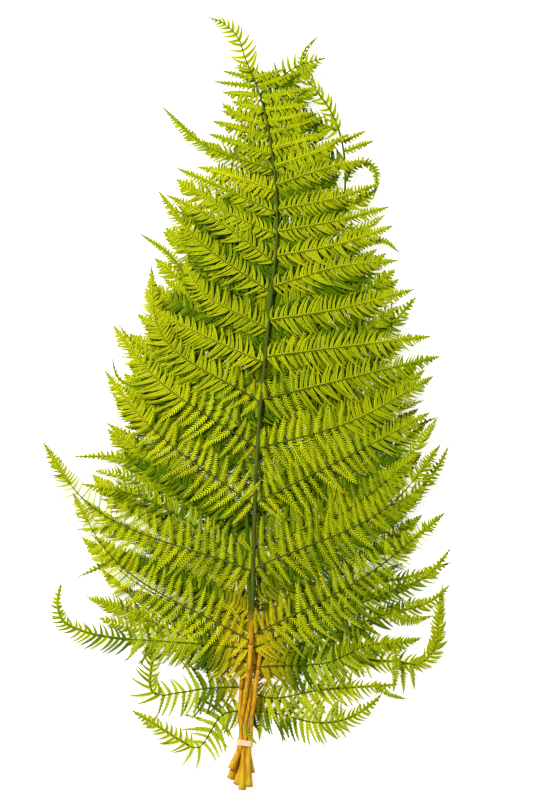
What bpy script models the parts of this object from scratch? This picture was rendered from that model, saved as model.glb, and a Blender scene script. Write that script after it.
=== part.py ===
"""A cut bunch of six fern fronds, laid flat, with a rubber band round its bare stalks.

X runs to the right, Y from the cut ends to the frond tips, and Z up. The origin lies under the
middle of the bunch, on the surface that it rests on. Frond 1 is on top and frond 6 on the surface.
Each frond is a rachis with pinnae, and each pinna is a thin blade cut into leaflets. Below its
lowest pinnae a frond goes on as a bare stipe, through the band to the cut end.

Sizes and places below are in millimetres, and MM makes them metres.
"""

import math
import random

import bmesh
import bpy
from mathutils import Vector

MM = 0.001
SEED = 11

# Stems
STIPE_RADIUS = 2.2
RACHIS_BASE_RADIUS = 2.1
RACHIS_TIP_RADIUS = 0.5
RACHIS_STEP = 30.0  # from one ring of the rachis tube to the next
STIPE_STEP = 12.0
COLOUR_GAP = 0.3  # between a stipe and its rachis, which are two colours of one stem

# Blades
BLADE_THICKNESS = 0.7
COSTA_HALF_WIDTH = 1.1  # of the uncut strip along a pinna's rib
BARE_LENGTH = 7.0  # of a pinna, before its first leaflets
LOW_LEAFLET_ANGLE = math.radians(60)  # between a leaflet and the rib, towards the pinna's tip
HIGH_LEAFLET_ANGLE = math.radians(78)
LOW_REACH = 0.60  # how far leaflets reach, as a share of the way to the next pinna
HIGH_REACH = 0.52
CLOSE_REACH = 0.44  # where pinnae are too close for their leaflets to pass over each other
MOST_REACH = 34.0
FEWEST_LEAFLETS = 3  # on each side of a short pinna
BEND_SPAN = 12.0  # the stretch of rib over which its bend is measured
BEND_SHARE = 0.7  # leaflets on the inside of a bend reach this share of its radius
STRAIGHT_TURN = 0.05
REST_SHARE = 0.6  # of the lowest frond's pinnae stands clear of the surface that the tips lie on
ROLL = 0.05  # a pinna's lower leaflets hang this much for each mm from the rib, the upper ones rise
TOP_SPACING = 19.0  # leaflets of the top frond, along the rib
HIDDEN_SPACING = 36.0  # leaflets of the fronds below it

# Layers
AXIS_X = 5.0
HALF_WIDTH = 150.0
GROUND_CENTRE = 3.0  # height of the lowest frond's blade
GROUND_EDGE = 2.4
PITCH_BASE = 5.2  # from one frond's blade up to the next, where the rachises are thick
PITCH_TOP = 3.5
PITCH_EDGE = 3.3
BASE_Y = -110.0
TOP_Y = 250.0
REST_HEIGHT = BLADE_THICKNESS / 2  # of a blade that lies on the surface

# Band
BAND_CENTRE = (-2.5, -341.0)
BAND_TURN = math.radians(-8)
BAND_WIDTH = 5.5
BAND_WALL = 1.2
BAND_GAP = 0.3
STIPE_PITCH = 4.8  # across the bundle, and from the lower row of stipes to the upper one
CORNER_STEPS = 4
HOLD = 8.0  # the stipes run parallel this far to each side of the band's middle

# Colours, with roughness
GREEN = ((0.36, 0.48, 0.04), 0.55)
STRAW = ((0.72, 0.40, 0.05), 0.5)
CREAM = ((0.90, 0.66, 0.38), 0.6)

# The way of each stem, from the cut end up: the cut end and the points above the band with their
# heights, the column and row at the band, and the rachis, whose height its layer gives.
STEMS = {
    1: {
        "end": (-16, -367, 8.2),
        "column": -1,
        "row": 1,
        "stipe": [(-5.7, -318, 11.8), (-2.5, -299, 15.8), (-0.5, -286, 20.5), (1.8, -264, 27.0)],
        "rachis": [(4, -240), (6, -176), (8, -96), (13, -5), (18, 47), (25, 117), (30, 169),
                   (30, 191), (27, 234), (20, 282), (13, 309), (1, 339), (-4, 352), (-7, 363),
                   (-15, 374), (-25, 382), (-38, 387)],
    },
    2: {
        "end": (-5, -388, 8.0),
        "column": 0,
        "row": 1,
        "stipe": [(-1, -318, 10.6), (2.2, -299, 14.0), (3, -286, 17.2), (3.5, -264, 22.0)],
        "rachis": [(4, -248), (3, -196), (-1, -96), (-9, 4), (-17, 104), (-19, 184), (-15, 239),
                   (-6, 274), (1, 286), (16, 309), (51, 339), (78, 347)],
    },
    3: {
        "end": (2, -385, 8.0),
        "column": 1,
        "row": 1,
        "stipe": [(4.2, -318, 11.6), (6.9, -299, 16.4), (8.2, -286, 18.0)],
        "rachis": [(11, -266), (21, -196), (43, -96), (68, 4), (88, 104), (98, 204), (98, 247),
                   (94, 269), (83, 296), (66, 319), (55, 333), (60, 359), (71, 369)],
    },
    4: {
        "end": (4, -372, 3.0),
        "column": 1,
        "row": 0,
        "stipe": [(3.6, -318, 6.8), (7, -299, 11.3), (8.4, -286, 12.8)],
        "rachis": [(9, -260), (11, -196), (19, -96), (28, 4), (36, 104), (41, 184), (43, 254)],
    },
    5: {
        "end": (-17, -378, 3.0),
        "column": -1,
        "row": 0,
        "stipe": [(-7, -318, 6.2), (-6.7, -299, 8.0)],
        "rachis": [(-6, -288), (-7, -196), (-22, -96), (-39, 4), (-52, 104), (-59, 164),
                   (-67, 204)],
    },
    6: {
        "end": (-10.5, -384, 3.0),
        "column": 0,
        "row": 0,
        "stipe": [],
        "rachis": [(-2, -312), (-4, -196), (-7, -96), (-11, 4), (-15, 104), (-17, 174),
                   (-19, 224)],
    },
}

# The top frond's pinnae, from the lowest up: where each leaves the rachis, where it bends up, and
# its tip. The short ones near the top are straight.
TOP_LEFT = [
    (-238, (-144, -143), (-175, -88)),
    (-168, (-170, -89), (-205, -37)),
    (-102, (-109, -10), (-143, 34)),
    (-47, (-100, 35), (-135, 80)),
    (0, (-89, 77), (-96, 139)),
    (38, (-57, 75), (-97, 96)),
    (74, (-54, 124), (-63, 146)),
    (109, (-54, 169), (-89, 214)),
    (140, (-41, 190), (-82, 210)),
    (166, (-20, 192), (-57, 219)),
    (191, (-20, 214), (-72, 237)),
    (212, (-20, 230), (-51, 238)),
    (231, (-47, 262), (-86, 299)),
    (249, None, (-40, 271)),
    (265, None, (-36, 284)),
    (279, None, (-27, 294)),
    (294, None, (-16, 303)),
    (308, None, (-25, 312)),
    (317, None, (-34, 323)),
    (325, None, (-26, 334)),
]
TOP_RIGHT = [
    (-233, (123, -169), (199, -108)),
    (-167, (153, -92), (194, -40)),
    (-99, (111, -47), (184, -8)),
    (-47, (103, -18), (187, 28)),
    (2, (103, 26), (194, 48)),
    (47, (113, 59), (185, 68)),
    (82, (93, 95), (168, 115)),
    (116, (96, 138), (152, 144)),
    (145, (93, 160), (147, 179)),
    (170, (93, 184), (144, 198)),
    (194, (93, 207), (134, 221)),
    (216, (83, 237), (121, 244)),
    (236, (73, 254), (103, 271)),
    (253, None, (81, 271)),
    (268, None, (78, 288)),
    (281, None, (67, 292)),
    (293, None, (63, 300)),
    (306, None, (61, 315)),
    (316, None, (53, 332)),
    (325, None, (41, 336)),
]

# Pinnae of the fronds below whose outer parts stand clear of the top frond: the points that each
# passes after it leaves the rachis at the first number's height.
LEFT, RIGHT = -1, 1
SEEN_PINNAE = {
    2: [
        (LEFT, -247, [(-32, -241), (-97, -237), (-137, -234), (-167, -227), (-186, -216),
                      (-190, -201), (-186, -178)]),
        (LEFT, -171, [(-47, -126), (-112, -91), (-167, -80)]),
        (LEFT, -26, [(-47, 19), (-82, 47), (-117, 64), (-129, 80)]),
        (LEFT, 114, [(-47, 144), (-74, 169)]),
        (RIGHT, -246, [(73, -214), (138, -190), (183, -170), (205, -144)]),
    ],
    3: [
        (LEFT, -265, [(-47, -241), (-110, -212), (-155, -196)]),
        (RIGHT, -265, [(41, -262), (83, -259), (118, -243), (160, -239), (176, -235)]),
        (RIGHT, -141, [(103, -116), (175, -84), (193, -61), (203, -41)]),
        (RIGHT, -61, [(103, -31), (143, -31), (192, -13)]),
        (RIGHT, 54, [(143, 79), (170, 108)]),
        (RIGHT, 134, [(118, 161), (138, 164), (153, 152)]),
        (RIGHT, 221, [(107, 239), (121, 243), (129, 234), (130, 221), (126, 205)]),
        (RIGHT, 251, [(128, 265)]),
        (RIGHT, 262, [(120, 275)]),
    ],
    4: [
        (LEFT, -236, [(-67, -176), (-137, -161), (-172, -175)]),
        (LEFT, -156, [(-47, -106), (-87, -78), (-127, -55), (-177, -53)]),
        (RIGHT, -259, [(73, -236), (133, -214), (191, -194), (205, -181)]),
        (RIGHT, -211, [(93, -186), (173, -171), (206, -159)]),
        (RIGHT, -116, [(83, -91), (133, -76), (153, -63), (170, -44)]),
    ],
    5: [
        (LEFT, -287, [(-37, -286), (-70, -291), (-90, -293), (-97, -289), (-98, -280),
                      (-96, -262), (-92, -240), (-86, -221)]),
        (LEFT, -236, [(-57, -171), (-127, -128), (-175, -126)]),
        (LEFT, -146, [(-67, -76), (-112, -36), (-144, -18)]),
        (LEFT, -66, [(-62, -21), (-107, 14), (-130, 26), (-137, 49)]),
        (LEFT, 34, [(-77, 84), (-103, 118)]),
        (LEFT, 114, [(-79, 151), (-110, 173)]),
        (RIGHT, -287, [(16, -295), (73, -288), (133, -284), (153, -283)]),
        (RIGHT, -258, [(53, -256), (103, -258), (153, -260), (173, -262), (187, -250),
                       (193, -216), (197, -183)]),
    ],
    6: [
        (LEFT, -311, [(-24, -313), (-40, -336), (-47, -346), (-52, -348), (-60, -344),
                      (-94, -323), (-117, -309)]),
        (RIGHT, -310, [(31, -313), (74, -322), (100, -318), (124, -304), (136, -293)]),
    ],
}

# How far leaf tips reach at each height: y, the left edge and the right edge of the bunch.
EDGES = [
    (-310, -110, 135),
    (-270, -130, 175),
    (-230, -178, 200),
    (-150, -172, 202),
    (-80, -170, 197),
    (-30, -150, 190),
    (40, -138, 188),
    (110, -105, 165),
    (170, -92, 146),
    (210, -82, 133),
    (250, -60, 124),
    (300, -24, 100),
    (340, -12, 75),
]
PAIRS = 10  # of a frond below the top one
PAIR_SHRINK = 0.89  # each gap between pairs against the one below it
APEX_SHARES = {2: 0.10, 3: 0.17, 4: 0.10, 5: 0.10, 6: 0.10}  # of the rachis, without pinnae
APEX_SPACING = 11.0
APEX_REACHES = {1: 17.0, 2: 17.0, 3: 12.0, 4: 17.0, 5: 17.0, 6: 17.0}
APEX_BARE = 2.0
APEX_ANGLE = math.radians(55)
SLANT_AT = 20.0  # where along a pinna its slant to the rachis is read
WIDTH_SHARE = 0.3  # the most that leaflets reach, as a share of their pinna's length
SEEN_WIDTH_SHARE = 0.17  # the same on the narrow pinnae that stand clear of the bunch
SEEN_ROOM = 22.0  # a ruled pinna this near to a seen one's place, or half a gap, is left out
ROOT_LIFT = 2.0  # the lowest pinnae stand this far above the rachis's start
STATION_PLAY = 5.0
RISE = 0.52  # how much a pinna rises for each mm out
RISE_PLAY = 0.08
SHORTFALL = (0.86, 0.98)  # how far a ruled pinna reaches towards the edge
BEND_AT = 0.6  # of a ruled pinna's chord, where it sags most
OWN_LENGTH = 30.0  # the shortest pinna near a frond's tip
LENGTH_GROWTH = 290.0  # added down to the base
SAG = 0.07  # a pinna's bend below its chord, as a share of its length


def blend(a, b, share):
    return a + (b - a) * share


def eased(share):
    share = min(max(share, 0.0), 1.0)
    return share * share * (3 - 2 * share)


def sheet_height(level, x, y):
    """Height of the middle of a frond's blade at a place. Level 0 is the lowest frond."""
    outward = eased(abs(x - AXIS_X) / HALF_WIDTH)
    upward = eased((y - BASE_Y) / (TOP_Y - BASE_Y))
    pitch = blend(blend(PITCH_BASE, PITCH_TOP, upward), PITCH_EDGE, outward)
    return blend(GROUND_CENTRE, GROUND_EDGE, outward) + level * pitch


def smooth(points, step=3.0):
    """Points about one step apart on a smooth curve through the given points."""
    gaps = [(b - a).length for a, b in zip(points, points[1:])]
    slopes = [(b - a) / gap for a, b, gap in zip(points, points[1:], gaps)]
    turns = [slopes[0]]
    for first, second, before, after in zip(slopes, slopes[1:], gaps, gaps[1:]):
        turns.append((first * after + second * before) / (before + after))
    turns.append(slopes[-1])
    path = [points[0]]
    for i, gap in enumerate(gaps):
        count = max(1, round(gap / step))
        for k in range(1, count + 1):
            t = k / count
            path.append(
                points[i] * (2 * t**3 - 3 * t**2 + 1)
                + points[i + 1] * (3 * t**2 - 2 * t**3)
                + turns[i] * gap * (t**3 - 2 * t**2 + t)
                + turns[i + 1] * gap * (t**3 - t**2)
            )
    return path


class Route:
    """A smooth way through points, walked by distance."""

    def __init__(self, points):
        self.path = smooth([Vector(point) for point in points])
        self.reached = [0.0]
        for a, b in zip(self.path, self.path[1:]):
            self.reached.append(self.reached[-1] + (b - a).length)
        self.length = self.reached[-1]

    def at(self, distance):
        distance = min(max(distance, 0.0), self.length)
        i = 1
        while self.reached[i] < distance and i < len(self.path) - 1:
            i += 1
        span = self.reached[i] - self.reached[i - 1]
        return self.path[i - 1].lerp(self.path[i], (distance - self.reached[i - 1]) / span)

    def heading(self, distance):
        return (self.at(distance + 1.5) - self.at(distance - 1.5)).normalized()

    def distance_at_y(self, y):
        """How far along the way first passes this y."""
        for point, reached in zip(self.path, self.reached):
            if point.y >= y:
                return reached
        return self.length


def material(name, look):
    colour, roughness = look
    made = bpy.data.materials.new(name)
    made.use_nodes = True
    shader = made.node_tree.nodes["Principled BSDF"]
    shader.inputs["Base Color"].default_value = (*colour, 1)
    shader.inputs["Roughness"].default_value = roughness
    shader.inputs["Metallic"].default_value = 0.0
    return made


def new_object(name, mesh, collection):
    made = bpy.data.objects.new(name, mesh)
    collection.objects.link(made)
    return made


def plain_mesh(source, name, collection):
    """The object as its curve or modifiers leave it, as a plain mesh object. The source goes."""
    loose_caps = source.type == "CURVE"
    bpy.context.view_layer.update()
    evaluated = source.evaluated_get(bpy.context.evaluated_depsgraph_get())
    mesh = bpy.data.meshes.new_from_object(evaluated)
    mesh.name = name
    matrix = source.matrix_world.copy()
    bpy.data.objects.remove(source)
    if loose_caps:
        weld = bmesh.new()
        weld.from_mesh(mesh)
        bmesh.ops.remove_doubles(weld, verts=weld.verts, dist=1e-6)
        weld.to_mesh(mesh)
        weld.free()
    made = new_object(name, mesh, collection)
    made.matrix_world = matrix
    return made


def tube(name, points, radii, resolution, collection):
    """A round stem through points, as a plain mesh object with closed ends."""
    curve = bpy.data.curves.new(name, "CURVE")
    curve.dimensions = "3D"
    curve.bevel_depth = MM
    curve.bevel_resolution = resolution
    curve.use_fill_caps = True
    spline = curve.splines.new("POLY")
    spline.points.add(len(points) - 1)
    for spot, point, radius in zip(spline.points, points, radii):
        spot.co = (*(point * MM), 1)
        spot.radius = radius
    return plain_mesh(new_object(name, curve, collection), name, collection)


def stem_route(number):
    """The whole stem of a frond, and how far up it the rachis begins."""
    stem = STEMS[number]
    level = len(STEMS) - number
    across = Vector((math.cos(BAND_TURN), math.sin(BAND_TURN), 0))
    along = Vector((-across.y, across.x, 0))
    row_height = BAND_WALL + BAND_GAP + STIPE_RADIUS + stem["row"] * STIPE_PITCH
    held = Vector((*BAND_CENTRE, row_height)) + across * stem["column"] * STIPE_PITCH
    rachis = [(x, y, sheet_height(level, x, y)) for x, y in stem["rachis"]]
    points = [stem["end"], held - along * HOLD, held + along * HOLD, *stem["stipe"], *rachis]
    route = Route(points)
    return route, route.distance_at_y(rachis[0][1])


def add_stipe(number, route, start, collection):
    steps = round(start / STIPE_STEP)
    reach = start - COLOUR_GAP / 2
    points = [route.at(reach * i / steps) for i in range(steps + 1)]
    return tube(f"stipe_{number}", points, [STIPE_RADIUS] * len(points), 2, collection)


def rachis_tube(number, route, start, collection):
    base = start + COLOUR_GAP / 2
    steps = round((route.length - base) / RACHIS_STEP)
    points = []
    radii = []
    for i in range(steps + 1):
        share = i / steps
        points.append(route.at(blend(base, route.length, share)))
        radii.append(blend(RACHIS_BASE_RADIUS, RACHIS_TIP_RADIUS, share**1.6))
    return tube(f"frond_{number}", points, radii, 1, collection)


def flat_point(point):
    return Vector((point[0], point[1], 0))


def blade_shape(share):
    """How wide a pinna is at a share of its length, against its widest."""
    return min(1.0, 0.75 + 1.5 * share) * (1 - share**2.5)


def inner_limit(route, distance, side):
    """How far leaflets can reach on this side of a bend without crossing each other."""
    before = route.heading(distance - BEND_SPAN / 2)
    after = route.heading(distance + BEND_SPAN / 2)
    turn = before.cross(after).z * side
    return BEND_SHARE * BEND_SPAN / turn if turn > STRAIGHT_TURN else math.inf


def pinna_sheet(route, level, side, reaches, spacing, bare, angles):
    """The open middle surface of one pinna, as a mesh of triangles alike on both faces."""
    low_reach, high_reach = reaches
    low_angle, high_angle = angles
    count = max(2, round((route.length - bare) / spacing))
    stations = [0.0] + [blend(bare, route.length, i / count) for i in range(count)]
    sheet = bmesh.new()

    def corner(centre, heading, out, forward):
        """A corner this far out from the rib, on the upper side if positive, and forward on it."""
        upper = Vector((-heading.y, heading.x, 0)) * side
        spot = centre + upper * out + heading * forward
        height = sheet_height(level, spot.x, spot.y) + ROLL * out
        if level == 0:
            height = blend(height, REST_HEIGHT, eased((share - REST_SHARE) / (1 - REST_SHARE)))
        return sheet.verts.new((spot.x * MM, spot.y * MM, max(height, REST_HEIGHT) * MM))

    ribs = []
    for distance in stations:
        share = distance / route.length
        centre, heading = flat_point(route.at(distance)), route.heading(distance)
        width = COSTA_HALF_WIDTH * blend(1.0, 0.6, share)
        ribs.append((corner(centre, heading, -width, 0), corner(centre, heading, width, 0)))
    share = 1.0
    tip = corner(flat_point(route.at(route.length)), route.heading(route.length), 0, 0)
    for i, ((low, high), (next_low, next_high)) in enumerate(zip(ribs, ribs[1:])):
        sheet.faces.new((low, next_low, next_high))
        sheet.faces.new((low, next_high, high))
        if i == 0:
            continue
        middle = (stations[i] + stations[i + 1]) / 2
        share = middle / route.length
        centre, heading = flat_point(route.at(middle)), route.heading(middle)
        low_out = min(low_reach * blade_shape(share), inner_limit(route, middle, -side))
        high_out = min(high_reach * blade_shape(share), inner_limit(route, middle, side))
        low_tip = corner(centre, heading, -low_out, low_out / math.tan(low_angle))
        high_tip = corner(centre, heading, high_out, high_out / math.tan(high_angle))
        sheet.faces.new((low, low_tip, next_low))
        sheet.faces.new((high, next_high, high_tip))
    sheet.faces.new((ribs[-1][0], tip, ribs[-1][1]))
    if side < 0:
        bmesh.ops.reverse_faces(sheet, faces=sheet.faces)
    mesh = bpy.data.meshes.new("pinna")
    sheet.to_mesh(mesh)
    sheet.free()
    return mesh


def add_pinna(mesh, collection):
    blade = new_object("pinna", mesh, collection)
    thicken = blade.modifiers.new("thickness", "SOLIDIFY")
    thicken.thickness = BLADE_THICKNESS * MM
    thicken.offset = 0


def edge_at(y, side):
    """The bunch's left or right edge at this height."""
    column = 1 if side < 0 else 2
    if y <= EDGES[0][0]:
        return EDGES[0][column]
    for low, high in zip(EDGES, EDGES[1:]):
        if y <= high[0]:
            return blend(low[column], high[column], (y - low[0]) / (high[0] - low[0]))
    return EDGES[-1][column]


def ruled_pinna(base, side, share, draw):
    """Points of a pinna that reaches for the bunch's edge, or as far as its place allows."""
    rise = RISE + draw.uniform(-RISE_PLAY, RISE_PLAY)
    stretch = draw.uniform(*SHORTFALL)
    tip = base.copy()
    for _ in range(4):
        tip.x = blend(base.x, edge_at(tip.y, side), stretch)
        tip.y = base.y + rise * abs(tip.x - base.x)
    own = OWN_LENGTH + LENGTH_GROWTH * (1 - share)
    way = tip - base
    if side * way.x < OWN_LENGTH:
        way = Vector((side, rise, 0)).normalized() * OWN_LENGTH
    way *= min(1.0, own / way.length)
    below = Vector((way.y, -way.x, 0)) * side
    return [base + way * BEND_AT + below * SAG, base + way]


def hidden_pinnae(number, route, start, draw):
    """Side, where it starts, points and width share of every pinna of a frond below the top one."""
    end = blend(start, route.length, 1 - APEX_SHARES[number])
    shares = [0.0]
    for i in range(PAIRS - 1):
        shares.append(shares[-1] + PAIR_SHRINK**i)
    stations = [blend(start, end, share / shares[-1]) for share in shares]
    stations[0] += ROOT_LIFT
    found = []
    for side in (LEFT, RIGHT):
        seen = [
            (route.distance_at_y(y), points) for s, y, points in SEEN_PINNAE[number] if s == side
        ]
        for i, station in enumerate(stations):
            gap = stations[i + 1] - station if i + 1 < PAIRS else station - stations[i - 1]
            if any(abs(distance - station) < min(gap / 2, SEEN_ROOM) for distance, _ in seen):
                continue
            place = station + (draw.uniform(0.0, STATION_PLAY) if i else 0.0)
            share = (place - start) / (route.length - start)
            points = ruled_pinna(flat_point(route.at(place)), side, share, draw)
            found.append((side, place, points, WIDTH_SHARE))
        for distance, points in seen:
            place = max(distance, start + ROOT_LIFT)
            points = [flat_point(point) for point in points]
            found.append((side, place, points, SEEN_WIDTH_SHARE))
    return found


def top_pinnae(route):
    found = []
    for side, rows in ((LEFT, TOP_LEFT), (RIGHT, TOP_RIGHT)):
        for y, bend, tip in rows:
            points = [flat_point(tip)] if bend is None else [flat_point(bend), flat_point(tip)]
            found.append((side, route.distance_at_y(y), points, WIDTH_SHARE))
    return found


def gap_to_next(stations, place):
    """The ways down and up the stem to the next pinnae on the same side."""
    below = [place - other for other in stations if other < place - 1]
    above = [other - place for other in stations if other > place + 1]
    down = min(below, default=MOST_REACH / LOW_REACH)
    up = min(above, default=down)
    return down, up


def reach_into(gap, share):
    """How far leaflets reach into the gap to the next pinna."""
    passes_over = ROLL * gap > 1.3 * BLADE_THICKNESS
    return min(gap * (share if passes_over else CLOSE_REACH), MOST_REACH)


def add_pinnae(number, route, start, collection):
    """All pinnae of a frond, and the leafy tip, where leaflets stand on the rachis itself."""
    level = len(STEMS) - number
    if number == 1:
        found = top_pinnae(route)
        spacing = TOP_SPACING
    else:
        found = hidden_pinnae(number, route, start, random.Random(SEED + number))
        spacing = HIDDEN_SPACING
    for side, place, points, width_share in found:
        stations = [other for s, other, *_ in found if s == side]
        down, up = gap_to_next(stations, place)
        base = flat_point(route.at(place))
        way = Route([base, *points])
        slant = abs(way.heading(SLANT_AT).cross(route.heading(place)).z)
        most = way.length * width_share
        reaches = (
            min(reach_into(down * slant, LOW_REACH), most),
            min(reach_into(up * slant, HIGH_REACH), most),
        )
        angles = (LOW_LEAFLET_ANGLE, HIGH_LEAFLET_ANGLE)
        fine = min(spacing, way.length / FEWEST_LEAFLETS)
        add_pinna(pinna_sheet(way, level, side, reaches, fine, BARE_LENGTH, angles), collection)
    apex_start = max(place for _, place, *_ in found)
    apex = Route([flat_point(route.at(blend(apex_start, route.length, i / 4))) for i in range(5)])
    reaches = (APEX_REACHES[number], APEX_REACHES[number])
    angles = (APEX_ANGLE, APEX_ANGLE)
    sheet = pinna_sheet(apex, level, RIGHT, reaches, APEX_SPACING, APEX_BARE, angles)
    add_pinna(sheet, collection)


def add_frond(number, route, start, collection):
    """The rachis tube with every blade joined to it, as one body."""
    blades = bpy.data.collections.new(f"pinnae_{number}")
    bpy.context.scene.collection.children.link(blades)
    add_pinnae(number, route, start, blades)
    stem = rachis_tube(number, route, start, collection)
    join = stem.modifiers.new("pinnae", "BOOLEAN")
    join.operation = "UNION"
    join.operand_type = "COLLECTION"
    join.collection = blades
    join.solver = "MANIFOLD"
    frond = plain_mesh(stem, f"frond_{number}", collection)
    for blade in list(blades.objects):
        bpy.data.objects.remove(blade)
    bpy.data.collections.remove(blades)
    return frond


def rounded_loop(curve, half_width, bottom, top, radius):
    """A closed outline with round corners, added to a flat curve."""
    corners = (
        (half_width - radius, bottom + radius, -90),
        (half_width - radius, top - radius, 0),
        (radius - half_width, top - radius, 90),
        (radius - half_width, bottom + radius, 180),
    )
    points = []
    for x, y, first in corners:
        for step in range(CORNER_STEPS + 1):
            angle = math.radians(first + 90 * step / CORNER_STEPS)
            points.append((x + radius * math.cos(angle), y + radius * math.sin(angle)))
    spline = curve.splines.new("POLY")
    spline.points.add(len(points) - 1)
    spline.use_cyclic_u = True
    for spot, (x, y) in zip(spline.points, points):
        spot.co = (x * MM, y * MM, 0, 1)


def add_band(collection):
    """The rubber band: a ring round the two rows of three stipes, flat where it lies."""
    inner_radius = STIPE_RADIUS + BAND_GAP
    inner_width = STIPE_PITCH + inner_radius
    inner_top = BAND_WALL + 2 * inner_radius + STIPE_PITCH
    curve = bpy.data.curves.new("tie_band", "CURVE")
    curve.dimensions = "2D"
    curve.fill_mode = "BOTH"
    curve.extrude = BAND_WIDTH / 2 * MM
    outer_top = inner_top + BAND_WALL
    rounded_loop(curve, inner_width + BAND_WALL, 0.0, outer_top, inner_radius + BAND_WALL)
    rounded_loop(curve, inner_width, BAND_WALL, inner_top, inner_radius)
    outline = new_object("tie_band", curve, collection)
    outline.rotation_euler = (math.radians(90), 0, BAND_TURN)
    outline.location = (BAND_CENTRE[0] * MM, BAND_CENTRE[1] * MM, 0)
    return plain_mesh(outline, "tie_band", collection)


def main():
    for old in list(bpy.data.objects):
        bpy.data.objects.remove(old)
    bunch = bpy.data.collections.new("fern_bunch")
    bpy.context.scene.collection.children.link(bunch)
    green = material("leaf green", GREEN)
    straw = material("stalk straw", STRAW)
    cream = material("band cream", CREAM)
    for number in STEMS:
        route, start = stem_route(number)
        add_frond(number, route, start, bunch).data.materials.append(green)
        stipe = add_stipe(number, route, start, bunch)
        stipe.data.shade_smooth()
        stipe.data.set_sharp_from_angle(angle=math.radians(50))
        stipe.data.materials.append(straw)
    add_band(bunch).data.materials.append(cream)


main()
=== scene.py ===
# %% [markdown]
# # A tied bunch of fern fronds
# Six cut fern fronds lie flat on each other, and a rubber band holds their bare stalks. The packed
# model gives the pieces at their real size, with few and broad leaflets. This lesson grows the fine
# leaves on the same ribs, so that every frond keeps its form. The frame is loaded first.

import math
import random
from collections import namedtuple

import bmesh
import bpy
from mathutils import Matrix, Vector


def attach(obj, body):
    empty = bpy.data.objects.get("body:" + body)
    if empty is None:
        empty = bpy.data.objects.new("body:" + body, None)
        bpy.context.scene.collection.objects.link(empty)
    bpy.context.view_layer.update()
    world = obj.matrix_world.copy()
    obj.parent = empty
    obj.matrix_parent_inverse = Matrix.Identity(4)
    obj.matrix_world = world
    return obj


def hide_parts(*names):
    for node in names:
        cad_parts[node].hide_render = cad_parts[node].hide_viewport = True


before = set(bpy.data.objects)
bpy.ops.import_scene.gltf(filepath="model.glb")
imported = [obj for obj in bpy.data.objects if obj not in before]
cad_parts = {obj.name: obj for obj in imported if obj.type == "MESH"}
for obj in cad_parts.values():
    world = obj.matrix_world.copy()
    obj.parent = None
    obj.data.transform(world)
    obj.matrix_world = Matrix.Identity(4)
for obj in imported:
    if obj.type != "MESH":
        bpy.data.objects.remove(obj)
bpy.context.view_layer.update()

# %% [markdown]
# ## Camera
# The photograph looks straight down on the bunch from far off, so a long lens is used. One pixel
# of the 540 by 810 picture is one millimetre on the bunch, which sets the camera's height: the
# field of view is 810 mm high at the height of the upper leaves.

# %% Camera
MM = 0.001
PICTURE_HEIGHT = 810.0
PICTURE_CENTRE = (23.0, -1.0)
LEAF_HEIGHT = 22.0
LENS = 85.0
SENSOR = 36.0

scene = bpy.context.scene


def placed(name, data):
    """A new object in the scene."""
    made = bpy.data.objects.new(name, data)
    scene.collection.objects.link(made)
    return made


camera_data = bpy.data.cameras.new("camera")
camera_data.lens = LENS
camera_data.sensor_width = SENSOR
camera = placed("camera", camera_data)
camera_height = LEAF_HEIGHT + PICTURE_HEIGHT * LENS / SENSOR
camera.location = (PICTURE_CENTRE[0] * MM, PICTURE_CENTRE[1] * MM, camera_height * MM)
bpy.context.scene.camera = camera
print("camera height in m:", round(camera.location.z, 3))

# %% [markdown]
# ## Light and floor
# The light is that of a studio table: white from all round, with a broad lamp up to the left that
# gives the leaves their shaded sides. The floor is plain and nearly white, and glows a little, so
# that shadows on it stay faint. The Standard view keeps the yellow-green of fresh fern saturated.

# %% Light and floor
WHITE = (1.0, 1.0, 1.0, 1.0)
FLOOR_GREY = (0.82, 0.82, 0.82, 1.0)
FLOOR_GLOW = 0.7
FLOOR_ROUGHNESS = 0.9
FLOOR_SIZE = 6.0
FLOOR_DROP = 0.0005
LAMP_PLACE = Vector((-0.9, 0.9, 1.7))
LAMP_POWER = 60.0
LAMP_SIZE = 0.5
WORLD_STRENGTH = 0.35


def set_inputs(node, values):
    for label, value in values.items():
        node.inputs[label].default_value = value


def shader_material(name):
    """A new material, its node tree and its shader."""
    made = bpy.data.materials.new(name)
    made.use_nodes = True
    return made, made.node_tree, made.node_tree.nodes["Principled BSDF"]


scene.view_settings.view_transform = "Standard"
world = bpy.data.worlds.new("studio")
scene.world = world
world.use_nodes = True
set_inputs(world.node_tree.nodes["Background"], {"Color": WHITE, "Strength": WORLD_STRENGTH})

lamp_data = bpy.data.lights.new("broad_lamp", "AREA")
lamp_data.shape = "DISK"
lamp_data.size = LAMP_SIZE
lamp_data.energy = LAMP_POWER
lamp = placed("broad_lamp", lamp_data)
lamp.location = LAMP_PLACE
lamp.rotation_euler = (-LAMP_PLACE).to_track_quat("-Z", "Y").to_euler()

floor_material, _, floor_shader = shader_material("white floor")
set_inputs(floor_shader, {
    "Base Color": FLOOR_GREY,
    "Roughness": FLOOR_ROUGHNESS,
    "Emission Color": WHITE,
    "Emission Strength": FLOOR_GLOW,
})
sheet = bmesh.new()
bmesh.ops.create_grid(sheet, x_segments=1, y_segments=1, size=FLOOR_SIZE / 2)
floor_mesh = bpy.data.meshes.new("floor")
sheet.to_mesh(floor_mesh)
sheet.free()
floor = placed("floor", floor_mesh)
floor.location.z = -FLOOR_DROP
floor.data.materials.append(floor_material)
print("lamp distance in m:", round(LAMP_PLACE.length, 2))

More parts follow.
